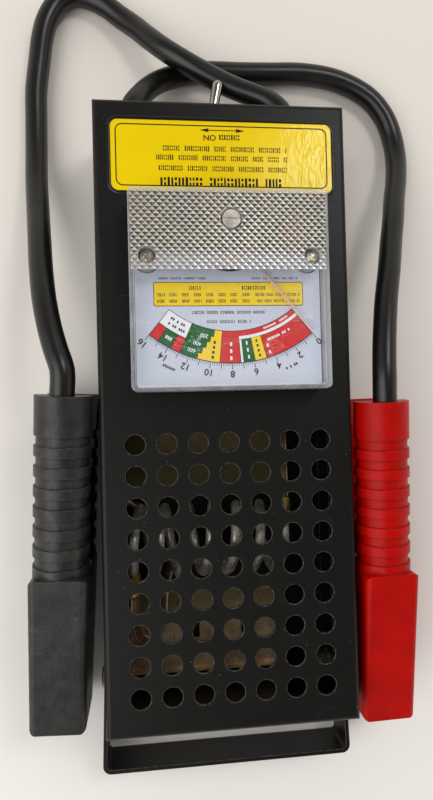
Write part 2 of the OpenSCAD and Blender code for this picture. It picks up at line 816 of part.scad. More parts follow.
module toggle_lever() {
    bat_end = bat_l - (toggle_y - wall_out);
    color([0.86, 0.87, 0.89])
        toggle_frame() {
            sphere(3.5);
            rotate([-90, 0, 0]) {
                cylinder(r1 = bat_neck_r, r2 = bat_tip_r, h = bat_end - bat_tip_r);
                translate([0, 0, bat_end - bat_tip_r])
                    sphere(bat_tip_r);
            }
            rod_y(1.6, -17, 0);
        }
}

module toggle_contact() {
    color([0.75, 0.6, 0.3])
        toggle_frame()
            difference() {
                translate([0, -16, 0])
                    rotate([90, 0, 0])
                        linear_extrude(6)
                            round_rect(7.4, 7, 1.5);
                rod_y(1.6 + run_gap, -18, -15);
            }
}

// Panel meter

module meter_corners() {
    for (s = [-1, 1], t = [-1, 1])
        translate([meter_x + s*stud_off, meter_y + t*stud_off, 0])
            children();
}

module meter_screw_places() {
    for (s = [-1, 1])
        translate([meter_x + s*meter_screw_out, meter_y + meter_screw_up, 0])
            children();
}

dial_posts = [[-30, -34], [30, -34], [-35.5, 4], [35.5, 4]];

module meter_body() {
    barrel_back = case_d - barrel_depth;
    color([0.07, 0.07, 0.07]) {
        difference() {
            union() {
                translate([meter_x, meter_y, case_d])
                    linear_extrude(meter_flange_t)
                        round_rect(meter_w, meter_w, meter_r);
                translate([meter_x, barrel_y, barrel_back])
                    cylinder(r = barrel_r, h = barrel_depth + 1, $fn = 72);
            }
            translate([meter_x, barrel_y, barrel_back + barrel_wall])
                cylinder(r = barrel_r - barrel_wall, h = barrel_depth + meter_flange_t, $fn = 72);
            meter_screw_places()
                translate([0, 0, case_d + 0.8])
                    cylinder(r = 1.5 + run_gap, h = meter_flange_t);
            meter_corners()
                translate([0, 0, case_d - cut])
                    cylinder(r = 1.8 + run_gap, h = 3 + cut);
            for (s = [-1, 1])
                translate([meter_x + s*12, barrel_y, barrel_back - cut])
                    cylinder(r = 2.5 + run_gap, h = barrel_wall + 2*cut);
        }
        for (p = dial_posts)
            translate([meter_x + p.x, meter_y + p.y, flange_top])
                cylinder(r = 2.4, h = dial_z - flange_top);
    }
}

module meter_cover() {
    inner_h = meter_cover_h - 2;
    color([0.85, 0.9, 0.92, 0.35])
        difference() {
            union() {
                difference() {
                    translate([meter_x, meter_y, flange_top])
                        intersection() {
                            folded_block(meter_w, meter_w, meter_cover_h, 1.2);
                            linear_extrude(meter_cover_h)
                                round_rect(meter_w, meter_w, meter_r);
                        }
                    translate([meter_x, meter_y, flange_top - cut])
                        linear_extrude(inner_h + cut)
                            round_rect(meter_w - 2*meter_wall, meter_w - 2*meter_wall,
                                meter_r - meter_wall + 0.6);
                }
                meter_screw_places()
                    translate([0, 0, flange_top])
                        cylinder(r = 5.2, h = meter_cover_h - 1);
                translate([pivot_x, meter_y + adjuster_up, cover_top - 3.6])
                    cylinder(r = 4.6, h = 2.6);
            }
            meter_screw_places() {
                translate([0, 0, cover_top - 4])
                    cylinder(r = 3.6, h = 4 + cut);
                translate([0, 0, flange_top - cut])
                    cylinder(r = 1.7, h = meter_cover_h);
            }
            translate([pivot_x, meter_y + adjuster_up, cover_top - 1.2])
                cylinder(r = 4.6, h = 1.2 + cut);
            translate([pivot_x, meter_y + adjuster_up, cover_top - 4])
                cylinder(r = 2 + run_gap, h = 4);
        }
}

module dial_plate() {
    plate_w = meter_w - 2*meter_wall - 0.8;
    color([0.86, 0.87, 0.93])
        translate([0, 0, dial_z])
            linear_extrude(dial_t)
                difference() {
                    translate([meter_x, meter_y])
                        round_rect(plate_w, plate_w, 1.2);
                    translate([meter_x - meter_w/2, meter_y + dial_top])
                        square([meter_w, meter_w/2]);
                    translate([pivot_x, pivot_y])
                        circle(16.5);
                    meter_screw_places()
                        circle(5.5);
                }
}

module at_pivot() {
    translate([pivot_x, pivot_y, 0])
        children();
}

module magnet_yoke() {
    color([0.45, 0.46, 0.48])
        at_pivot()
            difference() {
                translate([0, 0, yoke_z])
                    cylinder(r = yoke_r, h = yoke_h);
                translate([0, 0, yoke_z - cut])
                    cylinder(r = yoke_in, h = yoke_h + 2*cut);
            }
}

module core_magnet() {
    color([0.3, 0.3, 0.32])
        at_pivot() {
            translate([0, 0, yoke_z])
                cylinder(r = core_r, h = yoke_h);
            translate([0, 0, yoke_z + yoke_h/2])
                for (s = [[-yoke_in, 0], [0, yoke_in]])
                    rod_y(0.9, s[0] + 0.02, s[1] - 0.02);
        }
}

bridge_low = yoke_z - bridge_gap - bridge_t;
bridge_high = yoke_z + yoke_h + bridge_gap;

// The bar over the yoke that steadies the staff, on its two posts
module upper_bridge() {
    color([0.78, 0.68, 0.4])
        at_pivot() {
            for (y = [-10.3, 10.3])
                translate([0, y, yoke_z + yoke_h])
                    cylinder(r = 1.1, h = bridge_gap + eps);
            difference() {
                slab([-2, 2], [-yoke_r, yoke_r], [bridge_high, bridge_high + bridge_t]);
                translate([0, 0, bridge_high - cut])
                    cylinder(r = staff_r + run_gap, h = bridge_t + 2*cut);
            }
        }
}

// The bar under the yoke, with the bracket that stands on the floor of the barrel
module lower_bridge() {
    floor_z = case_d - barrel_depth + barrel_wall;
    color([0.78, 0.68, 0.4])
        at_pivot() {
            for (y = [-10.3, 10.3])
                translate([0, y, yoke_z - bridge_gap - eps])
                    cylinder(r = 1.1, h = bridge_gap + eps);
            slab([-2, 2], [-yoke_r, yoke_r], [bridge_low, bridge_low + bridge_t]);
            translate([0, -8, floor_z])
                cylinder(r = 2.5, h = bridge_low - floor_z + eps);
        }
}

module pointer_frame() {
    at_pivot()
        rotate([0, 0, pointer_swing])
            children();
}

module moving_coil() {
    side_in = (core_r + yoke_in)/2 - 0.7;
    side_out = side_in + 1.4;
    low = yoke_z - frame_gap;
    high = yoke_z + yoke_h + frame_gap;
    color([0.7, 0.4, 0.22])
        pointer_frame() {
            difference() {
                slab([-side_out, side_out], [-1.5, 1.5], [low - frame_t, high + frame_t]);
                slab([-side_in, side_in], [-1.5 - cut, 1.5 + cut], [low, high]);
            }
            translate([0, 0, high + frame_t - eps])
                cylinder(r = staff_r, h = needle_z + needle_t - high - frame_t + 0.6);
            translate([0, 0, yoke_z - bridge_gap + run_gap])
                cylinder(r = staff_r, h = bridge_gap - frame_gap - frame_t);
        }
}

module pointer() {
    color([0.86, 0.6, 0.52])
        pointer_frame()
            translate([0, 0, needle_z]) {
                difference() {
                    cylinder(r = 2.6, h = needle_t);
                    translate([0, 0, -cut])
                        cylinder(r = staff_r + 0.02, h = needle_t + 2*cut);
                }
                linear_extrude(needle_t)
                    polygon([[-0.7, -2], [0.7, -2], [0.25, -pointer_l], [-0.25, -pointer_l]]);
            }
}

// A flat spiral of strip round the staff
module hairspring() {
    steps = 96;
    strip = 0.22;
    function reach(k) = 1.7 + 3.2*k/steps;
    function around(k) = 15*k + 45;
    high = bridge_high + bridge_t;
    color([0.6, 0.6, 0.62])
        at_pivot() {
            translate([0, 0, high + 0.3])
                difference() {
                    cylinder(r = 1.8, h = 0.5);
                    translate([0, 0, -cut])
                        cylinder(r = staff_r + 0.02, h = 3*cut);
                }
            translate([0, 0, high + 0.3])
                linear_extrude(0.5)
                    polygon(concat(
                        [for (k = [0:steps])
                            reach(k)*[cos(around(k)), sin(around(k))]],
                        [for (k = [steps:-1:0])
                            (reach(k) + strip)*[cos(around(k)), sin(around(k))]]));
            translate([5.2*cos(around(steps)), 5.2*sin(around(steps)), high])
                translate([-1, -1, 0])
                    cube([1.2, 1.2, 1.2]);
        }
}

module zero_adjuster() {
    color([0.8, 0.84, 0.86])
        translate([pivot_x, meter_y + adjuster_up, 0])
            difference() {
                union() {
                    translate([0, 0, cover_top - 1.1])
                        cylinder(r = 3.9, h = 1.7);
                    translate([0, 0, needle_z + needle_t + 0.6])
                        cylinder(r = 2, h = cover_top - 1.1 - needle_z - needle_t - 0.6 + eps);
                    translate([1.3, 0, dial_z])
                        cylinder(r = 0.5, h = needle_z + needle_t + 0.7 - dial_z);
                }
                slab([-5, 5], [-0.6, 0.6], [cover_top - 0.4, cover_top + cut]);
            }
}

module meter_screws() {
    color([0.72, 0.72, 0.7])
        meter_screw_places()
            difference() {
                union() {
                    translate([0, 0, case_d + 1])
                        cylinder(r = 1.5, h = cover_top - 4 - case_d - 1 + eps);
                    intersection() {
                        translate([0, 0, cover_top - 4])
                            cylinder(r = 3, h = 2);
                        translate([0, 0, cover_top - 6.2])
                            sphere(4.4);
                    }
                }
                for (a = [45, 135])
                    translate([0, 0, cover_top - 2.6])
                        rotate([0, 0, a])
                            translate([-2, -0.4, 0])
                                cube([4, 0.8, 2]);
            }
}

module meter_studs() {
    color([0.7, 0.7, 0.68])
        meter_corners() {
            translate([0, 0, face_in - 8])
                cylinder(r = 1.8, h = 8 + sheet_t + 2.9);
            translate([0, 0, face_in - 3])
                cylinder(r = 4, h = 3, $fn = 6);
        }
}

module meter_terminals() {
    back = case_d - barrel_depth;
    color([0.77, 0.65, 0.34])
        for (s = [-1, 1])
            translate([meter_x + s*12, barrel_y, 0]) {
                translate([0, 0, back - 12])
                    cylinder(r = 2.5, h = 12 + barrel_wall + 2);
                for (z = [back - 3, back - 9])
                    translate([0, 0, z])
                        cylinder(r = 4.6, h = 3, $fn = 6);
                translate([0, 0, back - 4.2])
                    cylinder(r = 5, h = 1.2);
                slab(s < 0 ? [-5.5, -2] : [2, 5.5], [0, 5.5], [back - 6, back - 4.8]);
            }
}

module sense_wires() {
    color([0.6, 0.1, 0.08])
        for (route = sense_routes)
            swept_tube(route, 1, 8);
}

// Carrying handle: a strap on edge, pivoted on the case sides

module handle_plan() {
    corner_r = 4;
    arm_end = handle_y + strap_w/2;
    bar_half = arm_in + arm_splay + strap_t;
    difference() {
        union() {
            polygon([
                [-bar_half, bar_y + corner_r], [-bar_half + corner_r, bar_y],
                [bar_half - corner_r, bar_y], [bar_half, bar_y + corner_r],
                [arm_in + strap_t, arm_end], [-arm_in - strap_t, arm_end]]);
            for (s = [-1, 1])
                translate([s*(bar_half - corner_r), bar_y + corner_r])
                    circle(corner_r);
        }
        polygon([
            [-bar_half + strap_t, bar_y + corner_r], [-bar_half + corner_r, bar_y + strap_t],
            [bar_half - corner_r, bar_y + strap_t], [bar_half - strap_t, bar_y + corner_r],
            [arm_in, arm_end + cut], [-arm_in, arm_end + cut]]);
        for (s = [-1, 1])
            translate([s*(bar_half - corner_r), bar_y + corner_r])
                circle(corner_r - strap_t);
    }
}

module handle() {
    color([0.14, 0.14, 0.14])
        translate([0, 0, handle_z])
            difference() {
                intersection() {
                    translate([0, 0, -strap_w/2])
                        linear_extrude(strap_w)
                            handle_plan();
                    union() {
                        slab([-case_w, case_w], [bar_y - cut, handle_y], [-strap_w, strap_w]);
                        translate([0, handle_y, 0])
                            rod_x(strap_w/2, -case_w, case_w);
                    }
                }
                translate([0, handle_y, 0])
                    rod_x(pivot_r + run_gap, -case_w, case_w);
            }
}

module handle_bolts() {
    // The arm leans out a little under the head
    head = arm_in + strap_t + 0.4*arm_splay;
    color([0.75, 0.76, 0.78])
        handle_pivot_places() {
            rod_x(pivot_r, shell_in - 7, head + eps);
            translate([head, 0, 0])
                domed_head(5.6, 1.6);
        }
}

module handle_nuts() {
    color([0.7, 0.7, 0.68])
        handle_pivot_places()
            difference() {
                union() {
                    rod_x(6, shell_in - 1, shell_in);
                    translate([shell_in - 5, 0, 0])
                        rotate([0, 90, 0])
                            cylinder(r = 5.8, h = 4, $fn = 6);
                }
                rod_x(pivot_r + run_gap, shell_in - 6, shell_in + cut);
            }
}

// Leads

module black_lead() {
    color([0.08, 0.08, 0.08])
        swept_tube(black_route, lead_d/2, 10);
}

module red_lead() {
    color([0.08, 0.08, 0.08])
        swept_tube(red_route, lead_d/2, 10);
}

echo(black_lead_mm = path_length(black_route), red_lead_mm = path_length(red_route));
echo(black_pin = clamp_pin_at(black_entry, black_yaw), red_pin = clamp_pin_at(red_entry, red_yaw));
echo(entry_z = entry_z, entry_angle = entry_angle, clamp_tilt = clamp_tilt);
echo(black_last = black_route[len(black_route) - 2], red_last = red_route[len(red_route) - 2]);

// Spring clamps. Each half is drawn above the middle plane, with the pin at the origin,
// the jaw towards -Y and the grip towards +Y; the lower half is its mirror image.

module on_table(entry, yaw) {
    translate(clamp_pin_at(entry, yaw))
        rotate([clamp_tilt, 0, yaw])
            children();
}

module along_grip() {
    translate([0, 0, grip_up])
        rotate([grip_angle, 0, 0])
            children();
}

module half_grip_outside() {
    difference() {
        along_grip()
            rod_y(grip_r, -2, grip_l);
        along_grip()
            for (i = [0:grip_grooves - 1])
                let (from = grip_l - collar_l - groove_w - i*groove_pitch)
                    difference() {
                        rod_y(grip_r + cut, from, from + groove_w);
                        rod_y(grip_r - groove_d, from - cut, from + groove_w + cut);
                    }
        rotate([part_angle, 0, 0])
            slab([-2*grip_r, 2*grip_r], [-3*cut, 1.5*grip_l], [-2*grip_r, part_gap]);
        slab([-2*grip_r, 2*grip_r], [-4*cut, 0], [-2*grip_r, part_gap]);
    }
}

module hood_outside(inset) {
    low = part_gap - (inset > 0 ? 3*cut : 0);
    high_back = inset > 0 ? -eps : 0;
    intersection() {
        translate([0, (hood_back - hood_l)/2 + high_back, low])
            linear_extrude(2*hood_rise)
                round_rect(hood_w - 2*inset + eps, hood_l + hood_back - 2*inset, 3 - inset*0.9);
        translate([0, hood_back, hood_rise - inset])
            rotate([hood_angle, 0, 0])
                translate([0, 3*cut, -2*hood_rise])
                    rotate([90, 0, 0])
                        linear_extrude(hood_l + 20)
                            top_round(hood_w - 2*inset, 2*hood_rise, 3 - inset*0.9);
    }
}

// One insulated half: grip and hood in one moulding
module half_moulding(with_lead) {
    difference() {
        union() {
            half_grip_outside();
            hood_outside(0);
        }
        hood_outside(hood_wall);
        // Room round the pin for the spring, the ears and the pin heads
        rod_x(ear_r + spring_wire_r + 0.8, -jaw_out - seat_gap + 0.1, jaw_out + seat_gap - 0.1);
        rod_x(pin_head_r + 0.6, -hood_w, hood_w);
        // Slot for the metal arm, and the space for the spring's leg under it
        along_grip()
            slab([-6.3, 6.3], [-6, arm_l + seat_gap], [-5 - seat_gap, -2 + seat_gap]);
        rotate([part_angle, 0, 0])
            slab([-6.6, 6.6], [-4.4, spring_leg + 3], [-2*cut, leg_room]);
        if (with_lead)
            along_grip()
                translate([0, 0, lead_up]) {
                    rod_y(lead_d/2 + run_gap, arm_l + 4, grip_l + cut);
                    slab([-5.3, 5.3], [28, arm_l + 9], [-2 - lead_up, 0.3]);
                }
    }
}

// A pressed jaw: two toothed cheeks, a back plate under the hood and an arm into the grip
module half_jaw(outer) {
    back_w = hood_rise - hood_wall - seat_gap;
    slope = tan(hood_angle);
    front = -hood_l + hood_wall + 1;
    bite = -26;
    teeth = floor((bite - front)/tooth_pitch);
    cheek = concat(
        [[-1.2, 3], [-1.2, back_w - 10], [-6, back_w - 8*slope],
            [front, back_w + (front - hood_back)*slope]],
        [[front, 0.7]],
        [for (k = [0:teeth - 1]) each [
            [front + k*tooth_pitch + 0.4, 0.7],
            [front + (k + 0.5)*tooth_pitch + 0.4, 0.7 + 0.45*tooth_pitch]]],
        [[bite, 0.7], [-12, 2.5]]);
    difference() {
        union() {
            for (s = [-1, 1])
                translate([s < 0 ? -outer : outer - jaw_t, 0, 0])
                    rotate([90, 0, 90])
                        linear_extrude(jaw_t) {
                            polygon(cheek);
                            circle(ear_r);
                        }
            translate([-outer, 0, 0])
                rotate([90, 0, 90])
                    linear_extrude(2*outer)
                        polygon([
                            [-6, back_w - 8*slope], [front, back_w + (front - hood_back)*slope],
                            [front, back_w + (front - hood_back)*slope - jaw_t],
                            [-6, back_w - 8*slope - jaw_t]]);
            along_grip()
                slab([-6, 6], [-6.5, arm_l], [-4.7, -2]);
            for (s = [-1, 1])
                translate([s < 0 ? -outer : 6 - eps, 0, 0])
                    slab([0, outer - 6 + eps], [-6.5, -1.2], [grip_up - 4.9, grip_up - 2.4]);
        }
        rod_x(pin_r + run_gap, -hood_w, hood_w);
    }
}

module clamp_pin() {
    rod_x(pin_r, -jaw_out - 0.2, jaw_out + 0.2);
    for (s = [-1, 1])
        translate([s < 0 ? -jaw_out - 1.7 : jaw_out + 0.2, 0, 0])
            rod_x(pin_head_r, 0, 1.5);
}

// Torsion spring: a leg along the lower arm, the turns round the pin, a leg along the upper arm
spring_sweep = 360*spring_turns + 180 - 2*part_angle;
spring_steps = 8*spring_turns + 4;
spring_path = let (
        coil_l = spring_pitch*spring_sweep/360,
        ring = [for (k = [0:spring_steps])
            let (a = 180 + part_angle + spring_sweep*k/spring_steps)
            [coil_l*(k/spring_steps - 0.5), spring_r*sin(a), spring_r*cos(a)]],
        down = [0, cos(part_angle), -sin(part_angle)],
        up = [0, cos(part_angle), sin(part_angle)]
    )
    concat([ring[0] + spring_leg*down], ring, [ring[spring_steps] + spring_leg*up]);
echo(spring_least_gap = least_gap(spring_path, spring_wire_r, 6));

module clamp_spring() {
    swept_tube(spring_path, spring_wire_r, 6);
}

module clamp_lug() {
    along_grip() {
        translate([0, 0, lead_up])
            rod_y(lead_d/2, arm_l + 4.5, grip_l);
        slab([-5, 5], [29, arm_l + 8.7], [-2, -0.2]);
    }
}

black_skin = [0.22, 0.22, 0.21];
red_skin = [0.75, 0.1, 0.07];
copper = [0.72, 0.45, 0.3];
steel = [0.75, 0.76, 0.78];

module black_clamp_upper_grip() {
    color(black_skin) on_table(black_entry, black_yaw) half_moulding(true);
}
module black_clamp_lower_grip() {
    color(black_skin) on_table(black_entry, black_yaw) mirror([0, 0, 1]) half_moulding(false);
}
module black_clamp_upper_jaw() {
    color(copper) on_table(black_entry, black_yaw) half_jaw(jaw_out);
}
module black_clamp_lower_jaw() {
    color(copper) on_table(black_entry, black_yaw) mirror([0, 0, 1]) half_jaw(jaw_in);
}
module black_clamp_pin() {
    color(steel) on_table(black_entry, black_yaw) clamp_pin();
}
module black_clamp_spring() {
    color(steel) on_table(black_entry, black_yaw) clamp_spring();
}
module black_clamp_lug() {
    color(copper) on_table(black_entry, black_yaw) clamp_lug();
}
module red_clamp_upper_grip() {
    color(red_skin) on_table(red_entry, red_yaw) half_moulding(true);
}
module red_clamp_lower_grip() {
    color(red_skin) on_table(red_entry, red_yaw) mirror([0, 0, 1]) half_moulding(false);
}
module red_clamp_upper_jaw() {
    color(copper) on_table(red_entry, red_yaw) half_jaw(jaw_out);
}
module red_clamp_lower_jaw() {
    color(copper) on_table(red_entry, red_yaw) mirror([0, 0, 1]) half_jaw(jaw_in);
}
module red_clamp_pin() {
    color(steel) on_table(red_entry, red_yaw) clamp_pin();
}
module red_clamp_spring() {
    color(steel) on_table(red_entry, red_yaw) clamp_spring();
}
module red_clamp_lug() {
    color(copper) on_table(red_entry, red_yaw) clamp_lug();
}

front_cover();
back_cover();
cover_screws();
label_plate();
upper_shield();
lower_shield();
load_coil();
feed_wire();
return_wire();
wire_ferrules();
ceramic_posts();
terminal_bolts();
bus_bar();
ring_terminals();
lead_lugs();
lead_tails();
lead_grommets();
toggle_body();
toggle_bushing();
toggle_nut();
toggle_terminals();
toggle_lever();
toggle_contact();
meter_body();
meter_cover();
dial_plate();
magnet_yoke();
core_magnet();
upper_bridge();
lower_bridge();
moving_coil();
pointer();
hairspring();
zero_adjuster();
meter_screws();
meter_studs();
meter_terminals();
sense_wires();
handle();
handle_bolts();
handle_nuts();
black_lead();
red_lead();
black_clamp_upper_grip();
black_clamp_lower_grip();
black_clamp_upper_jaw();
black_clamp_lower_jaw();
black_clamp_pin();
black_clamp_spring();
black_clamp_lug();
red_clamp_upper_grip();
red_clamp_lower_grip();
red_clamp_upper_jaw();
red_clamp_lower_jaw();
red_clamp_pin();
red_clamp_spring();
red_clamp_lug();
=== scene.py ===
import math
import random

import bmesh
import bpy
from mathutils import Matrix, Vector


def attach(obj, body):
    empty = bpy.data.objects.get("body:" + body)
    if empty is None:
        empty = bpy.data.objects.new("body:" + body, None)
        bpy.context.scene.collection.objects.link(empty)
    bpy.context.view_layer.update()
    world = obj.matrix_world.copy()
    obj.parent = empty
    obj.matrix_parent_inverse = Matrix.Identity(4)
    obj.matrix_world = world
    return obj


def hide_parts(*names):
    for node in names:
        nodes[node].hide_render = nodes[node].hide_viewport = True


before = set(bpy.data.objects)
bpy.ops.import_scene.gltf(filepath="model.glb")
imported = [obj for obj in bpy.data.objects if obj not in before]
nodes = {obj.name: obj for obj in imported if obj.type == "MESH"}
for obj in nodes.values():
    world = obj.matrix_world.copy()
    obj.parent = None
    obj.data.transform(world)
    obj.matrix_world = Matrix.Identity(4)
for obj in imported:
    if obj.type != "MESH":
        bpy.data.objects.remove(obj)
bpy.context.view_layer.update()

# Every size and place below is in millimetres unless its name or comment says otherwise
MM = 0.001

# Camera, solved from the corners of the case, the vents and the meter in the photograph

CAM_RIGHT = Vector((0.99344815, -0.02552621, 0.11139654))
CAM_DOWN = Vector((-0.02388801, -0.99958634, -0.0160162))
CAM_AHEAD = Vector((0.11175929, 0.01325022, -0.99364697))
CAM_PLACE = Vector((-34.425, 3.098, 309.173))
SENSOR_WIDTH = 36
FOCAL_LENGTH = 26.1
NEAR_CLIP, FAR_CLIP = 10, 20000


def make_camera():
    data = bpy.data.cameras.new("photo_camera")
    data.sensor_width = SENSOR_WIDTH
    data.lens = FOCAL_LENGTH
    data.clip_start = NEAR_CLIP * MM
    data.clip_end = FAR_CLIP * MM
    cam = bpy.data.objects.new("photo_camera", data)
    turn = Matrix((CAM_RIGHT, -CAM_DOWN, -CAM_AHEAD)).transposed().to_4x4()
    cam.matrix_world = Matrix.Translation(CAM_PLACE * MM) @ turn
    bpy.context.scene.collection.objects.link(cam)
    bpy.context.scene.camera = cam


make_camera()

# Node graphs, in which a colour is written as a screen shows it, from 0 to 255


def linear(colour):
    shares = [c / 255 for c in colour]
    return [c / 12.92 if c <= 0.04045 else ((c + 0.055) / 1.055) ** 2.4 for c in shares]


class Graph:
    """Short calls for the shader nodes of a material or of the world."""

    def __init__(self, owner, output="ShaderNodeOutputMaterial", space="Object"):
        owner.use_nodes = True
        self.owner = owner
        self.tree = owner.node_tree
        self.tree.nodes.clear()
        self.out = self.tree.nodes.new(output)
        self.place = self.tree.nodes.new("ShaderNodeTexCoord").outputs[space]

    def put(self, socket, value):
        if isinstance(value, bpy.types.NodeSocket):
            self.tree.links.new(value, socket)
        elif socket.type == "RGBA":
            socket.default_value = (*linear(value), 1)
        else:
            socket.default_value = value

    def node(self, kind, settings=None, **inputs):
        made = self.tree.nodes.new(kind)
        for key, value in (settings or {}).items():
            setattr(made, key, value)
        for key, value in inputs.items():
            self.put(made.inputs[key.replace("_", " ")], value)
        return made

    def fed(self, kind, settings, *values):
        """A node whose inputs get the values in their order."""
        made = self.node(kind, settings)
        for socket, value in zip(made.inputs, values):
            self.put(socket, value)
        return made

    def axis(self, letter, vector=None):
        where = self.place if vector is None else vector
        return self.node("ShaderNodeSeparateXYZ", Vector=where).outputs[letter]

    def normal(self):
        return self.node("ShaderNodeNewGeometry").outputs["Normal"]

    def noise(self, scale, detail=4, rough=0.55, stretch=None, distort=0):
        where = self.place
        if stretch is not None:
            where = self.node("ShaderNodeMapping", Vector=where, Scale=stretch).outputs["Vector"]
        made = self.node(
            "ShaderNodeTexNoise", Vector=where, Scale=scale, Detail=detail, Roughness=rough,
            Distortion=distort,
        )
        return made.outputs["Fac"]

    def span(self, value, low, high, out_low=0, out_high=1):
        """Where value lies between low and high, as a number from out_low to out_high."""
        made = self.fed("ShaderNodeMapRange", {"clamp": True}, value, low, high, out_low, out_high)
        return made.outputs[0]

    def math(self, operation, a, b=0):
        return self.fed("ShaderNodeMath", {"operation": operation}, a, b).outputs[0]

    def plus(self, a, b):
        return self.math("ADD", a, b)

    def times(self, a, b):
        return self.math("MULTIPLY", a, b)

    def off(self, value, centre):
        """How far value is from centre, either way."""
        return self.math("ABSOLUTE", self.math("SUBTRACT", value, centre))

    def vector(self, operation, *values, output="Vector"):
        made = self.fed("ShaderNodeVectorMath", {"operation": operation}, *values)
        return made.outputs[output]

    def mix(self, share, a, b):
        """A share of colour b over colour a."""
        made = self.fed("ShaderNodeMix", {"data_type": "RGBA"}, share)
        self.put(made.inputs[6], a)
        self.put(made.inputs[7], b)
        return made.outputs[2]

    def blend(self, share, a, b):
        """A share of shader b over shader a."""
        return self.fed("ShaderNodeMixShader", None, share, a, b).outputs[0]

    def specks(self, scale, cluster):
        """Small dots of dust that lie in clusters."""
        cells = self.node("ShaderNodeTexVoronoi", Vector=self.place, Scale=scale)
        dots = self.span(cells.outputs["Distance"], 0.09, 0.02)
        return self.times(dots, self.span(self.noise(cluster, 2), 0.56, 0.62))

    def contour(self, noise, level, width):
        """A thin line where the noise passes a level."""
        return self.span(self.off(noise, level), width, 0)

    def rounded(self, radius):
        """The normal as it would be with every edge rounded to a radius."""
        return self.node("ShaderNodeBevel", {"samples": 6}, Radius=radius * MM).outputs["Normal"]

    def edges(self, radius, gain):
        """1 along convex and concave edges, from the difference of two normals."""
        same = self.vector("DOT_PRODUCT", self.rounded(radius), self.normal(), output="Value")
        return self.span(self.math("SUBTRACT", 1, same), 0, 1 / gain)

    def bump(self, height, distance, after=None):
        made = self.node("ShaderNodeBump", Height=height, Distance=distance * MM, Strength=1)
        if after is not None:
            self.put(made.inputs["Normal"], after)
        return made.outputs["Normal"]

    def show(self, shader):
        self.put(self.out.inputs["Surface"], shader)
        return self.owner

    def surface(self, **inputs):
        return self.show(self.node("ShaderNodeBsdfPrincipled", **inputs).outputs[0])


def material(name):
    return Graph(bpy.data.materials.new(name))


def finish(
    name, base, alt, rough, metal=0, patch=70, grain=2200, grain_depth=0.02, stretch=(1, 1, 1),
    edge=None, edge_gain=4, edge_radius=0.35, scratches=0, scratch_tone=None, dust=0,
    dust_tone=(218, 215, 209), heat=None, groove_shade=None, **extra,
):
    """A worn surface: patches of two tones, fine grain, brighter edges that are partly wear and
    partly painted highlight, scratches and dust.

    heat is (Y cool, Y hot, tone): the sheet darkens toward the hot end.
    groove_shade is (reach, share, tone): painted shade that darkens grooves and corners.
    """
    g = material(name)
    patches = g.noise(patch, 6, 0.6)
    fine = g.noise(grain, 3, 0.6, stretch)
    tone = g.mix(g.span(patches, 0.35, 0.68), base, alt)
    if heat is not None:
        cool, hot, burnt = heat
        tone = g.mix(g.span(g.axis("Y"), cool * MM, hot * MM), tone, burnt)
    # Painted shade: ambient occlusion darkens grooves and corners toward a darker tone.
    if groove_shade is not None:
        reach, share, shade_tone = groove_shade
        open_sky = g.node(
            "ShaderNodeAmbientOcclusion", {"samples": 8, "only_local": True}, Distance=reach * MM
        ).outputs["AO"]
        tone = g.mix(g.span(open_sky, 0.96, 0.5, 0, share), tone, shade_tone)
    if scratches:
        along = g.contour(g.noise(260, 2, 0.5, (0.16, 1, 1), 1.2), 0.5, 0.006)
        across = g.contour(g.noise(240, 2, 0.5, (1, 0.14, 1), 1.6), 0.47, 0.005)
        where = g.span(g.noise(38, 3), 0.5, 0.72)
        lines = g.times(g.math("MAXIMUM", along, across), where)
        tone = g.mix(g.times(lines, scratches), tone, scratch_tone)
    if dust:
        tone = g.mix(g.times(g.specks(420, 170), dust), tone, dust_tone)
    # Painted highlight, partly wear: edges and rims are lightened toward the edge tone.
    if edge is not None:
        broken = g.span(g.noise(900, 4), 0.38, 0.6)
        tone = g.mix(g.times(g.edges(edge_radius, edge_gain), broken), tone, edge)
    height = g.plus(fine, g.times(patches, 0.6))
    return g.surface(
        Base_Color=tone,
        Roughness=g.span(fine, 0.3, 0.7, *rough),
        Metallic=metal,
        Normal=g.bump(height, grain_depth, after=g.rounded(edge_radius)),
        **extra,
    )


# Materials

LOOKS = {}
LOOKS["case"] = finish(
    "case_paint", (15, 15, 13), (11, 11, 10), (0.34, 0.46), patch=34, grain=1100,
    grain_depth=0.035, stretch=(0.3, 1.8, 1), edge=(118, 114, 102), edge_gain=4.5,
    edge_radius=0.75, scratches=0.3, scratch_tone=(70, 68, 64), dust=0.45,
    Specular_IOR_Level=0.25,
)
# Painted shade: a darker, glossier copy of the case paint for the edge of the stamping round the
# label.
LOOKS["recess"] = finish(
    "recess_paint_shaded", (10, 10, 9), (7, 7, 7), (0.22, 0.3), patch=60, grain=1500, grain_depth=0.01,
    Specular_IOR_Level=0.4,
)
LOOKS["black_screw"] = finish(
    "black_oxide", (46, 46, 46), (30, 30, 30), (0.3, 0.45), metal=0.6, edge=(140, 138, 132),
    edge_radius=0.2,
)
LOOKS["bronze"] = finish(
    "bronze_sheet", (186, 164, 114), (132, 120, 80), (0.26, 0.5), metal=0.5,
    heat=(-4, -26, (112, 102, 70)), patch=95, grain=700, grain_depth=0.08, stretch=(1, 0.25, 1),
    edge=(235, 215, 175), scratches=0.9, scratch_tone=(228, 206, 164), dust=0.8,
    dust_tone=(236, 226, 200),
)
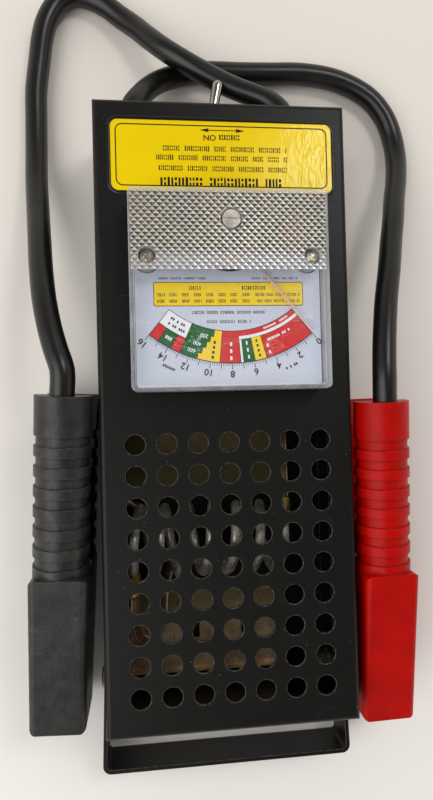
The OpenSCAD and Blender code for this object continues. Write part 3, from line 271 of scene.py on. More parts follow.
# Partly its own warmer tone and partly painted light: this copy of the bronze sheet for the lower
# shield is lighter, and its pale scratches and edges stand for gleams.
LOOKS["bronze_lighter"] = finish(
    "bronze_sheet_lighter", (236, 206, 162), (170, 142, 104), (0.24, 0.44), metal=0.55,
    heat=(-116, -97, (140, 124, 84)), patch=120, grain=600, grain_depth=0.1, stretch=(1, 0.25, 1),
    edge=(245, 225, 190), scratches=1, scratch_tone=(246, 226, 190), dust=0.8,
    dust_tone=(236, 226, 200),
)
LOOKS["coil"] = finish(
    "resistance_wire", (236, 230, 218), (150, 144, 134), (0.2, 0.34), metal=0.55, patch=150,
    grain=1800, grain_depth=0.04,
)
LOOKS["brass"] = finish(
    "brass", (212, 178, 104), (176, 140, 76), (0.22, 0.4), metal=0.95, patch=140,
    edge=(244, 222, 160), edge_radius=0.15,
)
LOOKS["ceramic"] = finish(
    "ceramic", (228, 224, 212), (208, 202, 188), (0.28, 0.42), patch=90, edge=(240, 238, 230),
    edge_gain=5, dust=0.4, dust_tone=(120, 110, 96),
)
LOOKS["copper"] = finish(
    "copper", (206, 130, 92), (150, 84, 56), (0.24, 0.42), metal=0.95, patch=120,
    edge=(240, 180, 140), edge_radius=0.15, scratches=0.3, scratch_tone=(240, 190, 150),
)
LOOKS["tinned"] = finish(
    "tinned", (206, 204, 198), (168, 164, 156), (0.24, 0.42), metal=0.9, patch=130,
    edge=(240, 240, 236), edge_radius=0.15,
)
LOOKS["rubber"] = finish(
    "black_rubber", (40, 40, 41), (28, 28, 29), (0.45, 0.62), patch=90, grain=1300,
    edge=(84, 84, 84), edge_gain=3, dust=0.6,
)
LOOKS["phenolic"] = finish(
    "phenolic", (32, 31, 30), (22, 21, 20), (0.32, 0.46), patch=80, edge=(80, 78, 74),
    edge_radius=0.25, dust=0.5,
)
LOOKS["chrome"] = finish(
    "chrome", (196, 193, 184), (160, 157, 148), (0.08, 0.2), metal=1, patch=160, grain=2600,
    grain_depth=0.004, edge=(250, 250, 250), edge_radius=0.2,
)
LOOKS["zinc"] = finish(
    "zinc_plate", (186, 184, 176), (142, 138, 128), (0.26, 0.44), metal=0.9, patch=180,
    edge=(230, 228, 220), edge_gain=5, edge_radius=0.15,
)
LOOKS["magnet"] = finish(
    "magnet_steel", (128, 128, 132), (92, 92, 96), (0.3, 0.5), metal=0.85, patch=120,
    edge=(190, 190, 194), edge_radius=0.2,
)
LOOKS["red_enamel"] = finish(
    "red_enamel_wire", (176, 52, 34), (132, 30, 20), (0.3, 0.46), metal=0.2, patch=300,
    grain=3000, stretch=(1, 1, 8), grain_depth=0.04,
)
LOOKS["pointer"] = finish("pointer_paint", (222, 176, 162), (210, 160, 146), (0.3, 0.45), patch=300)
# Painted highlights: the pale and greyish mottling and the bright edge stand for glints in the
# clear plastic.
LOOKS["adjuster"] = finish(
    "adjuster_plastic", (244, 238, 228), (176, 160, 150), (0.1, 0.2), patch=340,
    edge=(252, 250, 244), edge_gain=2, edge_radius=0.4, Alpha=0.68,
)
# Painted light: a lighter copy of the zinc plate, for the screws down in shaded pockets and the
# glint on the handle bolts.
LOOKS["zinc_lit"] = finish(
    "zinc_lit_copy", (216, 210, 190), (150, 144, 126), (0.2, 0.36), metal=0.85, patch=300,
    edge=(250, 246, 232), edge_gain=3, edge_radius=0.25,
)
LOOKS["spring"] = finish(
    "spring_steel", (176, 174, 170), (128, 126, 122), (0.26, 0.42), metal=0.95, patch=260,
    grain=2600,
)
LOOKS["red_wire"] = finish("red_insulation", (186, 34, 26), (150, 22, 18), (0.36, 0.5), patch=200)
# Both clamps take painted shade in their grooves and painted sheen along their edges.
LOOKS["black_clamp"] = finish(
    "black_clamp_vinyl", (44, 44, 42), (26, 26, 25), (0.3, 0.52), patch=130, grain=520,
    grain_depth=0.08, stretch=(1, 0.35, 1), edge=(112, 111, 107), edge_gain=2.8, edge_radius=0.5,
    scratches=0.6, scratch_tone=(120, 118, 114), dust=0.4, groove_shade=(2.8, 0.95, (3, 3, 3)),
    Specular_IOR_Level=0.4,
)
LOOKS["red_clamp"] = finish(
    "red_clamp_vinyl", (180, 6, 0), (158, 4, 0), (0.3, 0.46), patch=60, grain=900,
    grain_depth=0.03, edge=(214, 34, 20), edge_gain=2.4, edge_radius=0.5, scratches=0.15,
    scratch_tone=(220, 70, 56), dust=0.4, dust_tone=(232, 120, 108),
    groove_shade=(2.4, 0.6, (124, 2, 1)), Specular_IOR_Level=0.14,
)
LOOKS["dial"] = finish(
    "dial_enamel", (204, 209, 224), (194, 199, 216), (0.32, 0.44), patch=26, grain=1200,
    grain_depth=0.005, dust=0.25, dust_tone=(150, 150, 160), Specular_IOR_Level=0.25,
)


def ink(name, colour, thinnest):
    """Printed ink in an uneven film: its colour, which falls to a share where it is thinnest."""
    g = material(name)
    film = g.noise(420, 5, 0.65)
    darker = [c * thinnest for c in colour]
    return g.surface(
        Base_Color=g.mix(g.span(film, 0.3, 0.7), colour, darker),
        Roughness=g.span(film, 0.3, 0.7, 0.37, 0.5),
        Normal=g.bump(film, 0.004),
        Specular_IOR_Level=0.15,
    )


BLACK, RED, GREEN, YELLOW, WHITE = range(5)
INKS = [
    ink("ink_black", (18, 18, 20), 0.77), ink("ink_red", (212, 34, 30), 0.945),
    ink("ink_green", (4, 98, 34), 0.941), ink("ink_yellow", (246, 210, 0), 0.973),
    ink("ink_white", (236, 238, 244), 0.982),
]

# The plate is crinkled from the first X on, and fully so at the second
CRINKLED = (22, 44)


def label_paint():
    """Glossy yellow plate, crinkled towards its right end."""
    g = material("label_yellow")
    patches = g.span(g.noise(30, 4), 0.3, 0.7)
    crinkle = g.noise(300, 3, 0.6, (1, 0.45, 1), 0.6)
    right_end = g.span(g.axis("X"), CRINKLED[0] * MM, CRINKLED[1] * MM, 0.006, 1)
    return g.surface(
        Base_Color=g.mix(patches, (235, 203, 0), (227, 194, 0)),
        Roughness=g.span(g.noise(900, 3), 0.3, 0.7, 0.13, 0.17),
        Normal=g.bump(g.times(crinkle, right_end), 0.42, after=g.rounded(0.2)),
        Specular_IOR_Level=0.3,
    )


LOOKS["label"] = label_paint()

# The meter: its centre, the top of its clear cover, how far out the paler band in the cover
# begins and is full, and the screws in the cover
METER = (0.7, 53.6)
COVER_TOP = 66
BAND = (40.4, 41.4)
SCREW_OUT, SCREW_Y = 35.6, 67.6
ADJUSTER = (1.3, 83.2)


def clear_cover():
    """Clear moulding with fine scratches and a slight haze, with painted sheen that makes it paler
    where it is seen edge on, along its edges, on its walls and in a band over the walls.
    """
    g = material("clear_cover")
    lines = g.math(
        "MAXIMUM",
        g.contour(g.noise(150, 2, 0.5, distort=1.4), 0.52, 0.007),
        g.contour(g.noise(120, 2, 0.5, (0.25, 1, 1), 1), 0.47, 0.007),
    )
    scratch = g.times(lines, g.span(g.noise(30, 3), 0.46, 0.66))
    haze = g.span(g.noise(50, 5), 0.4, 0.8)
    rim = g.node("ShaderNodeLayerWeight", Blend=0.25).outputs["Facing"]
    upright = g.span(g.math("ABSOLUTE", g.axis("Z", g.normal())), 0.6, 0.2)
    # Painted reflection: a paler band round the top, over the walls below
    out_x = g.off(g.axis("X"), METER[0] * MM)
    out_y = g.off(g.axis("Y"), METER[1] * MM)
    wall_band_sheen = g.span(g.math("MAXIMUM", out_x, out_y), BAND[0] * MM, BAND[1] * MM)
    wall_band_sheen = g.times(wall_band_sheen, g.math("SUBTRACT", 1, upright))
    wall_band_sheen = g.times(wall_band_sheen, g.span(g.noise(90, 4), 0.3, 0.7, 0.5, 1))
    alpha = 0.015
    # The alpha from the grazing rim, the walls, the band and the edges is painted sheen; the
    # scratches and haze are the moulding's own.
    for part, share in (
        (g.math("POWER", rim, 2), 0.4), (scratch, 0.45), (haze, 0.04),
        (g.plus(upright, wall_band_sheen), 0.34), (g.edges(0.5, 2), 0.8),
    ):
        alpha = g.plus(g.times(part, share), alpha)
    return g.surface(
        Base_Color=(216, 219, 222),
        Roughness=g.span(scratch, 0, 1, 0.07, 0.4),
        Alpha=g.span(alpha, 0, 1),
        Normal=g.rounded(0.5),
    )


LOOKS["clear"] = clear_cover()

# The white dial begins to show through the facets at the first Y, and is plain at the second
DIAL_SEEN = (70.5, 66)


def prism_plastic():
    """Clear diamond-cut facets over the movement: silvery, with a little of what is under them.
    Each side of a point carries painted light and shade, and the normals lean up so that this
    painted tone shows evenly.
    """
    g = material("prism_facets")
    facet_light = g.node("ShaderNodeAttribute", {"attribute_name": "facet_light"}).outputs["Fac"]
    film = g.noise(1400, 4)
    # Painted light and shade: each side of a point runs from dark to silvery by the way it faces.
    tone = g.mix(facet_light, (30, 30, 26), (230, 227, 214))
    tone = g.mix(g.times(g.span(film, 0.4, 0.7), 0.2), tone, (150, 146, 134))
    # The white dial shows through low down, and the copper of the coil here and there
    low = g.span(g.axis("Y"), DIAL_SEEN[0] * MM, DIAL_SEEN[1] * MM)
    tone = g.mix(g.times(low, 0.4), tone, (206, 210, 222))
    warm = g.span(g.noise(70, 2), 0.54, 0.68)
    tone = g.mix(g.times(warm, 0.16), tone, (200, 150, 134))
    leaning = g.vector("ADD", g.normal(), (0, 0, 2))
    return g.surface(
        Base_Color=tone,
        Metallic=0.15,
        Roughness=g.span(film, 0.3, 0.7, 0.14, 0.3),
        Alpha=g.span(facet_light, 0, 1, 0.7, 0.92),
        Normal=g.bump(film, 0.02, after=g.vector("NORMALIZE", leaning)),
        Specular_IOR_Level=0.3,
    )


LOOKS["prism"] = prism_plastic()


def cable_skin():
    """Satin black jacket of the heavy leads, with a few scuffs and specks."""
    g = material("cable_jacket")
    patches = g.noise(42, 5, 0.6)
    fine = g.noise(1500, 3)
    scuff = g.span(g.noise(260, 5, 0.7, distort=0.8), 0.62, 0.74)
    tone = g.mix(g.span(patches, 0.35, 0.7), (14, 14, 13), (8, 8, 8))
    tone = g.mix(g.times(scuff, 0.25), tone, (76, 74, 70))
    tone = g.mix(g.times(g.specks(380, 120), 0.5), tone, (180, 176, 168))
    return g.surface(
        Base_Color=tone,
        Roughness=g.span(fine, 0.3, 0.7, 0.29, 0.35),
        Normal=g.bump(g.plus(fine, patches), 0.004),
        Specular_IOR_Level=0.48,
    )


LOOKS["cable"] = cable_skin()

# The wires' sleeving: its pale stripes, which are painted highlights, its threads, and how fast the
# weave runs
GLINT_STRIPES, THREADS, WEAVE = 3, 6, 6.28


def sleeved_wire():
    """Brown sleeving with pale stripes that are painted highlights, and a fine weave along the
    wire.
    """
    g = material("brown_sleeving")
    uv = g.node("ShaderNodeUVMap", {"uv_map": "along"}).outputs["UV"]
    turn, run = g.axis("X", uv), g.axis("Y", uv)
    glint = g.off(g.math("FRACT", g.times(turn, GLINT_STRIPES)), 0.5)
    slant = g.times(turn, THREADS)
    one_way = g.math("SINE", g.times(g.plus(run, slant), WEAVE))
    other_way = g.math("SINE", g.times(g.math("SUBTRACT", run, slant), WEAVE))
    worn = g.noise(300, 5)
    faded = g.span(worn, 0.35, 0.65)
    brown = g.mix(faded, (120, 78, 48), (84, 50, 30))
    glint_cream = g.mix(faded, (226, 206, 176), (190, 164, 130))
    return g.surface(
        # Painted highlight: the pale stripes stand for glints along the sides of the wire.
        Base_Color=g.mix(g.span(glint, 0.14, 0.08), brown, glint_cream),
        Roughness=g.span(worn, 0.3, 0.7, 0.5, 0.7),
        Normal=g.bump(g.times(one_way, other_way), 0.06),
    )


LOOKS["sleeving"] = sleeved_wire()

# Mesh helpers


def link(name, data):
    made = bpy.data.objects.new(name, data)
    bpy.context.scene.collection.objects.link(made)
    return made


def paint(obj, look):
    obj.data.materials.clear()
    obj.data.materials.append(look)


def build(name, bm, *looks):
    """Turn a bmesh into an object with its materials."""
    mesh = bpy.data.meshes.new(name)
    for look in looks:
        mesh.materials.append(look)
    bm.to_mesh(mesh)
    bm.free()
    return link(name, mesh)


def settle(piece, body="housing", node=None):
    """Say which body a piece rides on and the CAD node that it stands for."""
    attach(piece, body)
    if node is not None:
        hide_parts(node)


def between(a, b, at_a, at_b, t):
    return (at_b - t) / (at_b - at_a) * a + (t - at_a) / (at_b - at_a) * b


def smooth(points, step):
    """Points of a centripetal curve through the given ones, about one every step."""
    pts = [Vector(p) for p in points]
    pts = [2 * pts[0] - pts[1]] + pts + [2 * pts[-1] - pts[-2]]
    out = []
    for i in range(1, len(pts) - 2):
        p0, p1, p2, p3 = pts[i - 1 : i + 3]
        t0 = 0
        t1 = (p1 - p0).length ** 0.5
        t2 = t1 + (p2 - p1).length ** 0.5
        t3 = t2 + (p3 - p2).length ** 0.5
        count = max(1, round((p2 - p1).length / step))
        for k in range(count):
            t = t1 + (t2 - t1) * k / count
            a1 = between(p0, p1, t0, t1, t)
            a2 = between(p1, p2, t1, t2, t)
            a3 = between(p2, p3, t2, t3, t)
            b1 = between(a1, a2, t0, t2, t)
            b2 = between(a2, a3, t1, t3, t)
            out.append(between(b1, b2, t1, t2, t))
    out.append(pts[-2])
    return out


def tube(name, points, radius, sides, look):
    """A closed tube along points, with a UV map of turn and run."""
    bm = bmesh.new()
    uv = bm.loops.layers.uv.new("along")
    rings = []
    runs = [0]
    for a, b in zip(points, points[1:]):
        runs.append(runs[-1] + (b - a).length)
    side = None
    for i, p in enumerate(points):
        ahead = (points[min(i + 1, len(points) - 1)] - points[max(i - 1, 0)]).normalized()
        if side is None:
            side = ahead.cross(Vector((0, 0, 1)))
            if side.length < 0.1:
                side = ahead.cross(Vector((1, 0, 0)))
        side = (side - side.dot(ahead) * ahead).normalized()
        up = ahead.cross(side)
        ring = []
        for k in range(sides):
            turn = 2 * math.pi * k / sides
            out = math.cos(turn) * side + math.sin(turn) * up
            ring.append(bm.verts.new((p + radius * out) * MM))
        rings.append(ring)
    for i in range(len(rings) - 1):
        for k in range(sides):
            n = (k + 1) % sides
            face = bm.faces.new((rings[i][k], rings[i][n], rings[i + 1][n], rings[i + 1][k]))
            face.smooth = True
            corners = ((k, i), (k + 1, i), (k + 1, i + 1), (k, i + 1))
            for loop, (a, b) in zip(face.loops, corners):
                loop[uv].uv = (a / sides, runs[b])
    bm.faces.new(list(reversed(rings[0])))
    bm.faces.new(rings[-1])
    bmesh.ops.recalc_face_normals(bm, faces=bm.faces)
    return build(name, bm, look)


def flat_faces(name, loops, height, indices, looks):
    """Flat outlines at one height, each with the number of its material."""
    bm = bmesh.new()
    for loop, index in zip(loops, indices):
        face = bm.faces.new([bm.verts.new((x * MM, y * MM, height * MM)) for x, y in loop])
        face.material_index = index
    bm.normal_update()
    for face in bm.faces:
        if face.normal.z < 0:
            face.normal_flip()
    return build(name, bm, *looks)


def rect(x0, y0, x1, y1):
    return [(x0, y0), (x1, y0), (x1, y1), (x0, y1)]


def round_rect(x0, y0, x1, y1, r, steps=6):
    corners = (
        (x1 - r, y1 - r, 0), (x0 + r, y1 - r, 90), (x0 + r, y0 + r, 180), (x1 - r, y0 + r, 270),
    )
    points = []
    for x, y, start in corners:
        for k in range(steps + 1):
            a = math.radians(start + 90 * k / steps)
            points.append((x + r * math.cos(a), y + r * math.sin(a)))
    return points


def grown(box, by):
    x0, y0, x1, y1 = box
    return (x0 - by, y0 - by, x1 + by, y1 + by)


# Leads, along the same points as in the CAD

BLACK_ROUTE = [
    (36, 147.5, 24), (33.3, 152.5, 23.6), (29, 157.2, 22), (22.5, 161, 20.3), (14.5, 164.5, 19),
    (6.5, 168, 18.4), (-1, 171.6, 18.4), (-8.5, 175.5, 18.5), (-16, 180, 18),
    (-23.5, 185.5, 16.5), (-31, 193, 13), (-38, 201, 9), (-46, 208, 6.5), (-53.5, 214, 5.6),
    (-61, 217.5, 5.6), (-69, 218.5, 5.6), (-77, 214.5, 5.6), (-83, 205, 5.6),
    (-85.7, 195, 5.6), (-87.2, 184, 5.6), (-89.2, 168, 5.6), (-89.5, 153, 5.6),
    (-89.5, 137, 6.8), (-89, 120, 11), (-87.3, 102, 18.5), (-85.2, 85, 28), (-83.2, 68, 36.5),
    (-81, 53.5, 43), (-78, 39.5, 47.8), (-75.3, 30, 50.2), (-72.484, 20.942, 51.931),
    (-73, 10, 50.932),
]
RED_ROUTE = [
    (-42, 147.5, 24.6), (-39.9, 152.5, 24.2), (-36.6, 158.5, 20.8), (-32.5, 165.5, 15.5),
    (-26.5, 172.5, 10), (-18, 177.5, 6.8), (-7.5, 180.5, 5.6), (4.5, 181, 5.6), (17, 181, 5.6),
    (33, 181.5, 5.6), (49.5, 182, 5.6), (66.5, 180, 5.6), (79, 175.5, 5.6), (89, 169, 5.6),
    (96.5, 159, 5.6), (100.5, 147.5, 5.6), (101, 135, 8), (98.5, 122.5, 13),
    (94.5, 109.5, 19), (91, 97, 25), (87.5, 85, 30), (83, 69, 37), (78.5, 53, 43),
    (75.6, 39, 47.3), (73.9, 28, 50), (72.790, 14.953, 51.931), (73, 4, 50.932),
]
LEAD_R = 5.5
CLAMP_PARTS = ("upper_grip", "lower_grip", "upper_jaw", "lower_jaw", "pin", "lug")
CLAMP_TILT = 2.34746


def clamp_frame(pin, yaw):
    turn = Matrix.Rotation(math.radians(yaw), 4, "Z")
    tilt = Matrix.Rotation(math.radians(CLAMP_TILT), 4, "X")
    return Matrix.Translation(Vector(pin)) @ turn @ tilt


# Where each clamp's pin lies, and how far the clamp is turned on the table, in degrees
CLAMPS = {
    "black": clamp_frame((-76.8022, -70.6247, 26.1166), -2.7),
    "red": clamp_frame((74.5495, -76.6994, 26.1166), 1.1),
}

# A spring's wire, its coil, and the angle in degrees at which a leg leaves the clamp's line
SPRING_WIRE_R, SPRING_COIL_R, SPRING_PITCH, SPRING_TURNS = 0.9, 4.6, 2.35, 4
SPRING_LEG, SPRING_LEG_ANGLE = 20, 9.35
LOWER_LEG_R = 0.84 * SPRING_WIRE_R


def torsion_spring(colour):
    """The spring round the clamp pin, with its two straight legs.

    The lower leg is a piece of its own, which turns with the clamp's lower half. Its end runs
    on a little way inside the coil, so that the spring stays whole when the clamp opens.
    """
    sweep = 360 * SPRING_TURNS + 180 - 2 * SPRING_LEG_ANGLE
    length = SPRING_PITCH * sweep / 360
    steps = 30 * SPRING_TURNS
    ring = []
    for k in range(steps + 1):
        a = math.radians(180 + SPRING_LEG_ANGLE + sweep * k / steps)
        across = length * (k / steps - 0.5)
        ring.append(Vector((across, SPRING_COIL_R * math.sin(a), SPRING_COIL_R * math.cos(a))))
    lean = math.radians(SPRING_LEG_ANGLE)
    c, s = math.cos(lean), math.sin(lean)
    quarters = [SPRING_LEG * k / 4 for k in range(1, 5)]
    first = [ring[0] + d * Vector((0, c, -s)) for d in reversed(quarters)]
    last = [ring[-1] + d * Vector((0, c, s)) for d in quarters]
    place = CLAMPS[colour]
    wound = [place @ p for p in ring + last]
    turning = [place @ p for p in first + ring[:4]]
    made = tube(f"{colour}_spring_wire", wound, SPRING_WIRE_R, 12, LOOKS["spring"])
    settle(made, node=f"{colour}_clamp_spring")
    lower = tube(f"{colour}_spring_leg", turning, LOWER_LEG_R, 12, LOOKS["spring"])
    settle(lower, body=f"{colour}_clamp_jaw")
    return [made, lower]


def lead(colour, route):
    points = smooth(route, 2)
    data = bpy.data.curves.new(f"{colour}_cable", "CURVE")
    data.dimensions = "3D"
    data.bevel_depth = LEAD_R * MM
    data.bevel_resolution = 6
    data.use_fill_caps = True
    spline = data.splines.new("POLY")
    spline.points.add(len(points) - 1)
    for target, p in zip(spline.points, points):
        target.co = (*(p * MM), 1)
    spline.use_smooth = True
    made = link(f"{colour}_cable", data)
    paint(made, LOOKS["cable"])
    settle(made, node=f"{colour}_lead")
    spring = torsion_spring(colour)


lead("black", BLACK_ROUTE)
lead("red", RED_ROUTE)

# Wires in the case

TAILS = {
    "black": [
        (36, 147.5, 24), (39.2, 141.6, 24.5), (41.7, 136, 25), (42.5, 132, 25), (42.5, 129, 25),
    ],
    "red": [
        (-42, 147.5, 24.6), (-44.3, 142, 25), (-45.4, 136, 25), (-45.5, 132, 25),
        (-45.5, 129, 25),
    ],
}
FEED = [
    (22, 104, 25.8), (25, 104, 25.8), (27.3, 101.8, 21), (27, 96, 14), (26, 85.91, 9.8),
    (26, 70.18, 9), (27, 49.61, 7), (29, 27.83, 10), (24.8, 12.1, 22), (25.8, 0, 33),
    (26.3, -12.1, 39), (26.3, -26.02, 40.5), (26.3, -39.5, 40.5),
]
RETURN = [
    (42.5, 95, 25.8), (42.5, 91, 25.8), (42, 86, 22), (40.5, 80, 12), (34, 74, 4.2),
    (18, 70, 3.6), (-6, 68, 3.6), (-30, 64, 3.6), (-45, 54, 3.6), (-51.5, 37.51, 3.6),
    (-52, 15.73, 3.6), (-52, -6.05, 3.6), (-52, -28, 3.6), (-51.5, -38, 3.6), (-47, -45, 3.6),
    (-38, -49.5, 3.6), (-28, -53, 3.6), (-20.5, -58, 3.6), (-18.5, -64, 3.6),
    (-21, -71, 4.2), (-26.5, -80, 7), (-29.5, -90, 12), (-31, -100, 20), (-36, -106, 29),
    (-42, -102, 36), (-44.2, -93, 40.5), (-44.2, -81.5, 40.5),
]
SENSE = [
    [(16.5, 66.1, 20.6), (16.8, 69, 20), (20, 75, 16), (27, 82, 15), (35.5, 90, 15),
     (36.5, 97.5, 18), (36, 101, 23.5), (36.2, 103, 26.8), (37.1, 105.6, 27), (38, 107.2, 26.4)],
    [(-15, 66.1, 20.6), (-15.5, 69, 20), (-20, 77, 12), (-27, 87, 12), (-33, 94, 18),
     (-34, 98, 23.5), (-34, 101.9, 25.8)],
]
SLEEVE_R, SENSE_R = 2.2, 1


def wire(name, route, radius, look, node, sides=20, step=1.5):
    made = tube(name, smooth(route, step), radius, sides, look)
    settle(made, node=node)


for colour, route in TAILS.items():
    wire(f"{colour}_tail", route, LEAD_R, LOOKS["cable"], "lead_tails", 28)
for name, route in (("feed", FEED), ("return", RETURN)):
    wire(f"{name}_sleeve", route, SLEEVE_R, LOOKS["sleeving"], f"{name}_wire")
for i, route in enumerate(SENSE):
    name = f"meter_lead_{i + 1}"
    wire(name, route, SENSE_R, LOOKS["red_wire"], "sense_wires", 12, 1)

# The load coil: one end of its axis, its turns, and the straight stretch at each end
COIL_END = (-44.2, -60.5, 25)
COIL_PITCH, COIL_TURNS, COIL_R, COIL_WIRE_R = 11.75, 6, 15.5, 2.3
COIL_TAIL = 11
COIL_STEPS = 48


def resistance_coil():
    x0, y0, z0 = COIL_END
    x1 = x0 + COIL_PITCH * COIL_TURNS
    top = z0 + COIL_R
    points = [Vector((x0, y0 - d, top)) for d in (COIL_TAIL, COIL_TAIL / 2)]
    for k in range(COIL_STEPS * COIL_TURNS + 1):
        a = 2 * math.pi * k / COIL_STEPS
        x = x0 + COIL_PITCH * k / COIL_STEPS
        points.append(Vector((x, y0 + COIL_R * math.sin(a), z0 + COIL_R * math.cos(a))))
    points += [Vector((x1, y0 + d, top)) for d in (COIL_TAIL / 2, COIL_TAIL)]
    made = tube("resistance_coil", points, COIL_WIRE_R, 16, LOOKS["coil"])
    settle(made, node="load_coil")


resistance_coil()

# Dial print

DIAL_Z = 56.83
LAYER = 0.03
HUB = (1.5, 79.5)
FULL_SCALE = 16
SWEEP = 78.8
PER_VOLT = math.radians(SWEEP) / FULL_SCALE

# Radii of the coloured scale: its edges, its middle, and the two sides of a white line in it
R_IN, R_OUT, R_MID = 42.9, 57, 50.1
R_LINE, R_SHORT = 45.3, 46.7
# Readings at which the colours change: on the short scale, on the long one and past its end
SHORT_BAD, SHORT_WEAK, SHORT_GOOD, SHORT_END = 4.8, 5.9, 6.95, 7.2
LONG_BAD, LONG_GOOD = 9.15, 12.85
CHARGE_LOW, CHARGE_GOOD = 13.75, 15.05
# The border between yellow and green goes out in steps
STEP_R = [R_IN, 46, 48.6, 51.4, 54.2, R_OUT]
STEP_AT = [10.05, 10.35, 10.65, 10.95, 11.25]
# Half widths of the thin lines and of the steps, and each tick's length with its half width
HAIR, STEP_HAIR = 0.13, 0.11
TICK_EVEN, TICK_ODD, TICK_FIFTH = (2.9, 0.14), (2.6, 0.14), (1.35, 0.1)


def turned(volts):
    """The pointer's angle at a reading, in degrees from the middle of the scale."""
    return SWEEP / 2 - volts / FULL_SCALE * SWEEP


def at(radius, volts):
    a = math.radians(turned(volts))
    return (HUB[0] + radius * math.sin(a), HUB[1] - radius * math.cos(a))


def sector(r0, r1, v0, v1):
    """Outline of a ring sector between two radii and two readings."""
    steps = max(1, math.ceil(abs(v1 - v0) / 0.4))
    inner = [at(r0, v0 + (v1 - v0) * k / steps) for k in range(steps + 1)]
    outer = [at(r1, v1 + (v0 - v1) * k / steps) for k in range(steps + 1)]
    return inner + outer


def tick(r0, r1, volts, half, radius):
    """A line across the scale, with its half width as it measures at a radius."""
    w = half / (radius * PER_VOLT)
    return sector(r0, r1, volts - w, volts + w)


def word_blocks(x0, x1, y, height, seed, gap, letter, space, group=(5, 11)):
    """A row of small bars in groups, which stands for a line of small print."""
    pick = random.Random(seed)
    loops = []
    x = x0
    while x < x1 - letter:
        for _ in range(pick.randint(*group)):
            if x > x1 - letter:
                break
            w = letter * pick.uniform(0.75, 1.15)
            h = height * pick.uniform(0.86, 1)
            if pick.random() < 0.4:
                loops.append(rect(x, y - h / 2, x + w, y - 0.12 * h))
                loops.append(rect(x, y + 0.12 * h, x + w, y + h / 2))
            else:
                loops.append(rect(x, y - h / 2, x + w, y + h / 2))
            x += w + space
        x += gap
    return loops


def blocks_on_arc(radius, v0, v1, height, seed, width):
    """Small blocks set along an arc, in place of words."""
    pick = random.Random(seed)
    loops = []
    step = (width + 0.28) / (radius * PER_VOLT)
    v = v0
    while v + 0.7 * step < v1:
        if pick.random() > 0.14:
            loops.append(sector(radius - height / 2, radius + height / 2, v, v + 0.7 * step))
        v += step
    return loops


# The coloured fields of the scale: radii and readings from and to, and the ink
FIELDS = [
    (R_IN, R_LINE, 0, LONG_BAD, RED),
    (R_LINE - 0.1, R_OUT, SHORT_END, LONG_BAD, RED),
    (R_SHORT, R_OUT, 0, SHORT_BAD, RED),
    (R_SHORT, R_OUT, SHORT_BAD, SHORT_WEAK, YELLOW),
    (R_SHORT, R_OUT, SHORT_WEAK, SHORT_GOOD, GREEN),
    (R_LINE, R_SHORT, 0, SHORT_END, WHITE),
    (R_SHORT, R_OUT, SHORT_GOOD, SHORT_END, WHITE),
    (R_IN, R_MID, LONG_GOOD, FULL_SCALE, WHITE),
    (R_MID, R_OUT, LONG_GOOD, CHARGE_LOW, RED),
    (R_MID, R_OUT, CHARGE_LOW, CHARGE_GOOD, GREEN),
    (R_MID, R_OUT, CHARGE_GOOD, FULL_SCALE, RED),
]
for low, high, edge in zip(STEP_R, STEP_R[1:], STEP_AT):
    FIELDS += [(low, high, LONG_BAD, edge, YELLOW), (low, high, edge, LONG_GOOD, GREEN)]


def scale_lines():
    """The thin black lines between the fields, and the ticks."""
    lines = [tick(R_SHORT, R_OUT, v, HAIR, 52) for v in (SHORT_BAD, SHORT_WEAK, SHORT_GOOD)]
    lines += [tick(R_MID, R_OUT, v, HAIR, 52) for v in (CHARGE_LOW, CHARGE_GOOD)]
    lines += [tick(R_IN, R_OUT, v, HAIR, 50) for v in (0, LONG_BAD, LONG_GOOD, FULL_SCALE)]
    lines.append(sector(R_SHORT, R_OUT, SHORT_END, SHORT_END + 2 * HAIR / (52 * PER_VOLT)))
    w = STEP_HAIR / (50 * PER_VOLT)
    for low, high, edge, before in zip(STEP_R, STEP_R[1:], STEP_AT, [None] + STEP_AT):
        lines.append(sector(low, high, edge - w, edge + w))
        if before is not None:
            lines.append(sector(low - 0.1, low + 0.1, before - w, edge + w))
    lines.append(sector(R_IN - HAIR, R_IN + HAIR, 0, FULL_SCALE))
    lines.append(sector(R_OUT - 0.18, R_OUT + 0.18, -0.05, FULL_SCALE + 0.05))
    lines.append(sector(R_MID - HAIR, R_MID + HAIR, LONG_GOOD, FULL_SCALE))
    lines.append(sector(R_SHORT - 0.08, R_SHORT - 0.08 + HAIR, 0, SHORT_END))
    for k in range(5 * FULL_SCALE + 1):
        length, half = TICK_EVEN if k % 10 == 0 else TICK_ODD if k % 5 == 0 else TICK_FIFTH
        lines.append(tick(R_OUT, R_OUT + length, k * 0.2, half, 58))
    return lines


# Blocks along the scale in place of words: radius, readings from and to, height, seed, width
WORDS_IN_WHITE = [
    (44.1, 1, 4.4, 0.9, 3, 0.6), (49.4, 1.6, 4.2, 1.1, 4, 0.75), (53.4, 14.05, 14.75, 1.5, 6, 0.8),
]
WORDS_IN_BLACK = [(47.8, 13.25, 15.6, 1.1, 7, 0.75), (45.3, 13.5, 15.3, 1.1, 8, 0.75)]
WORDS_OUTSIDE = [(64.4, 2.55, 3.65, 1.1, 9, 0.7), (64.8, 12.7, 13.8, 1.1, 10, 0.7)]
# Single letters stacked across a field: radii, readings from and to, half height, ink
STACKS = [
    ((48.6, 51.7, 54.8), 8, 8.22, 0.85, WHITE), ((48.6, 51.7, 54.8), 6.35, 6.52, 0.8, WHITE),
    ((48.4, 50.6, 52.8, 55), 9.75, 9.97, 0.65, BLACK),
    ((48.4, 50.6, 52.8, 55), 5.28, 5.46, 0.6, BLACK), ((51.8, 54.9), 4.28, 4.46, 0.8, WHITE),
]
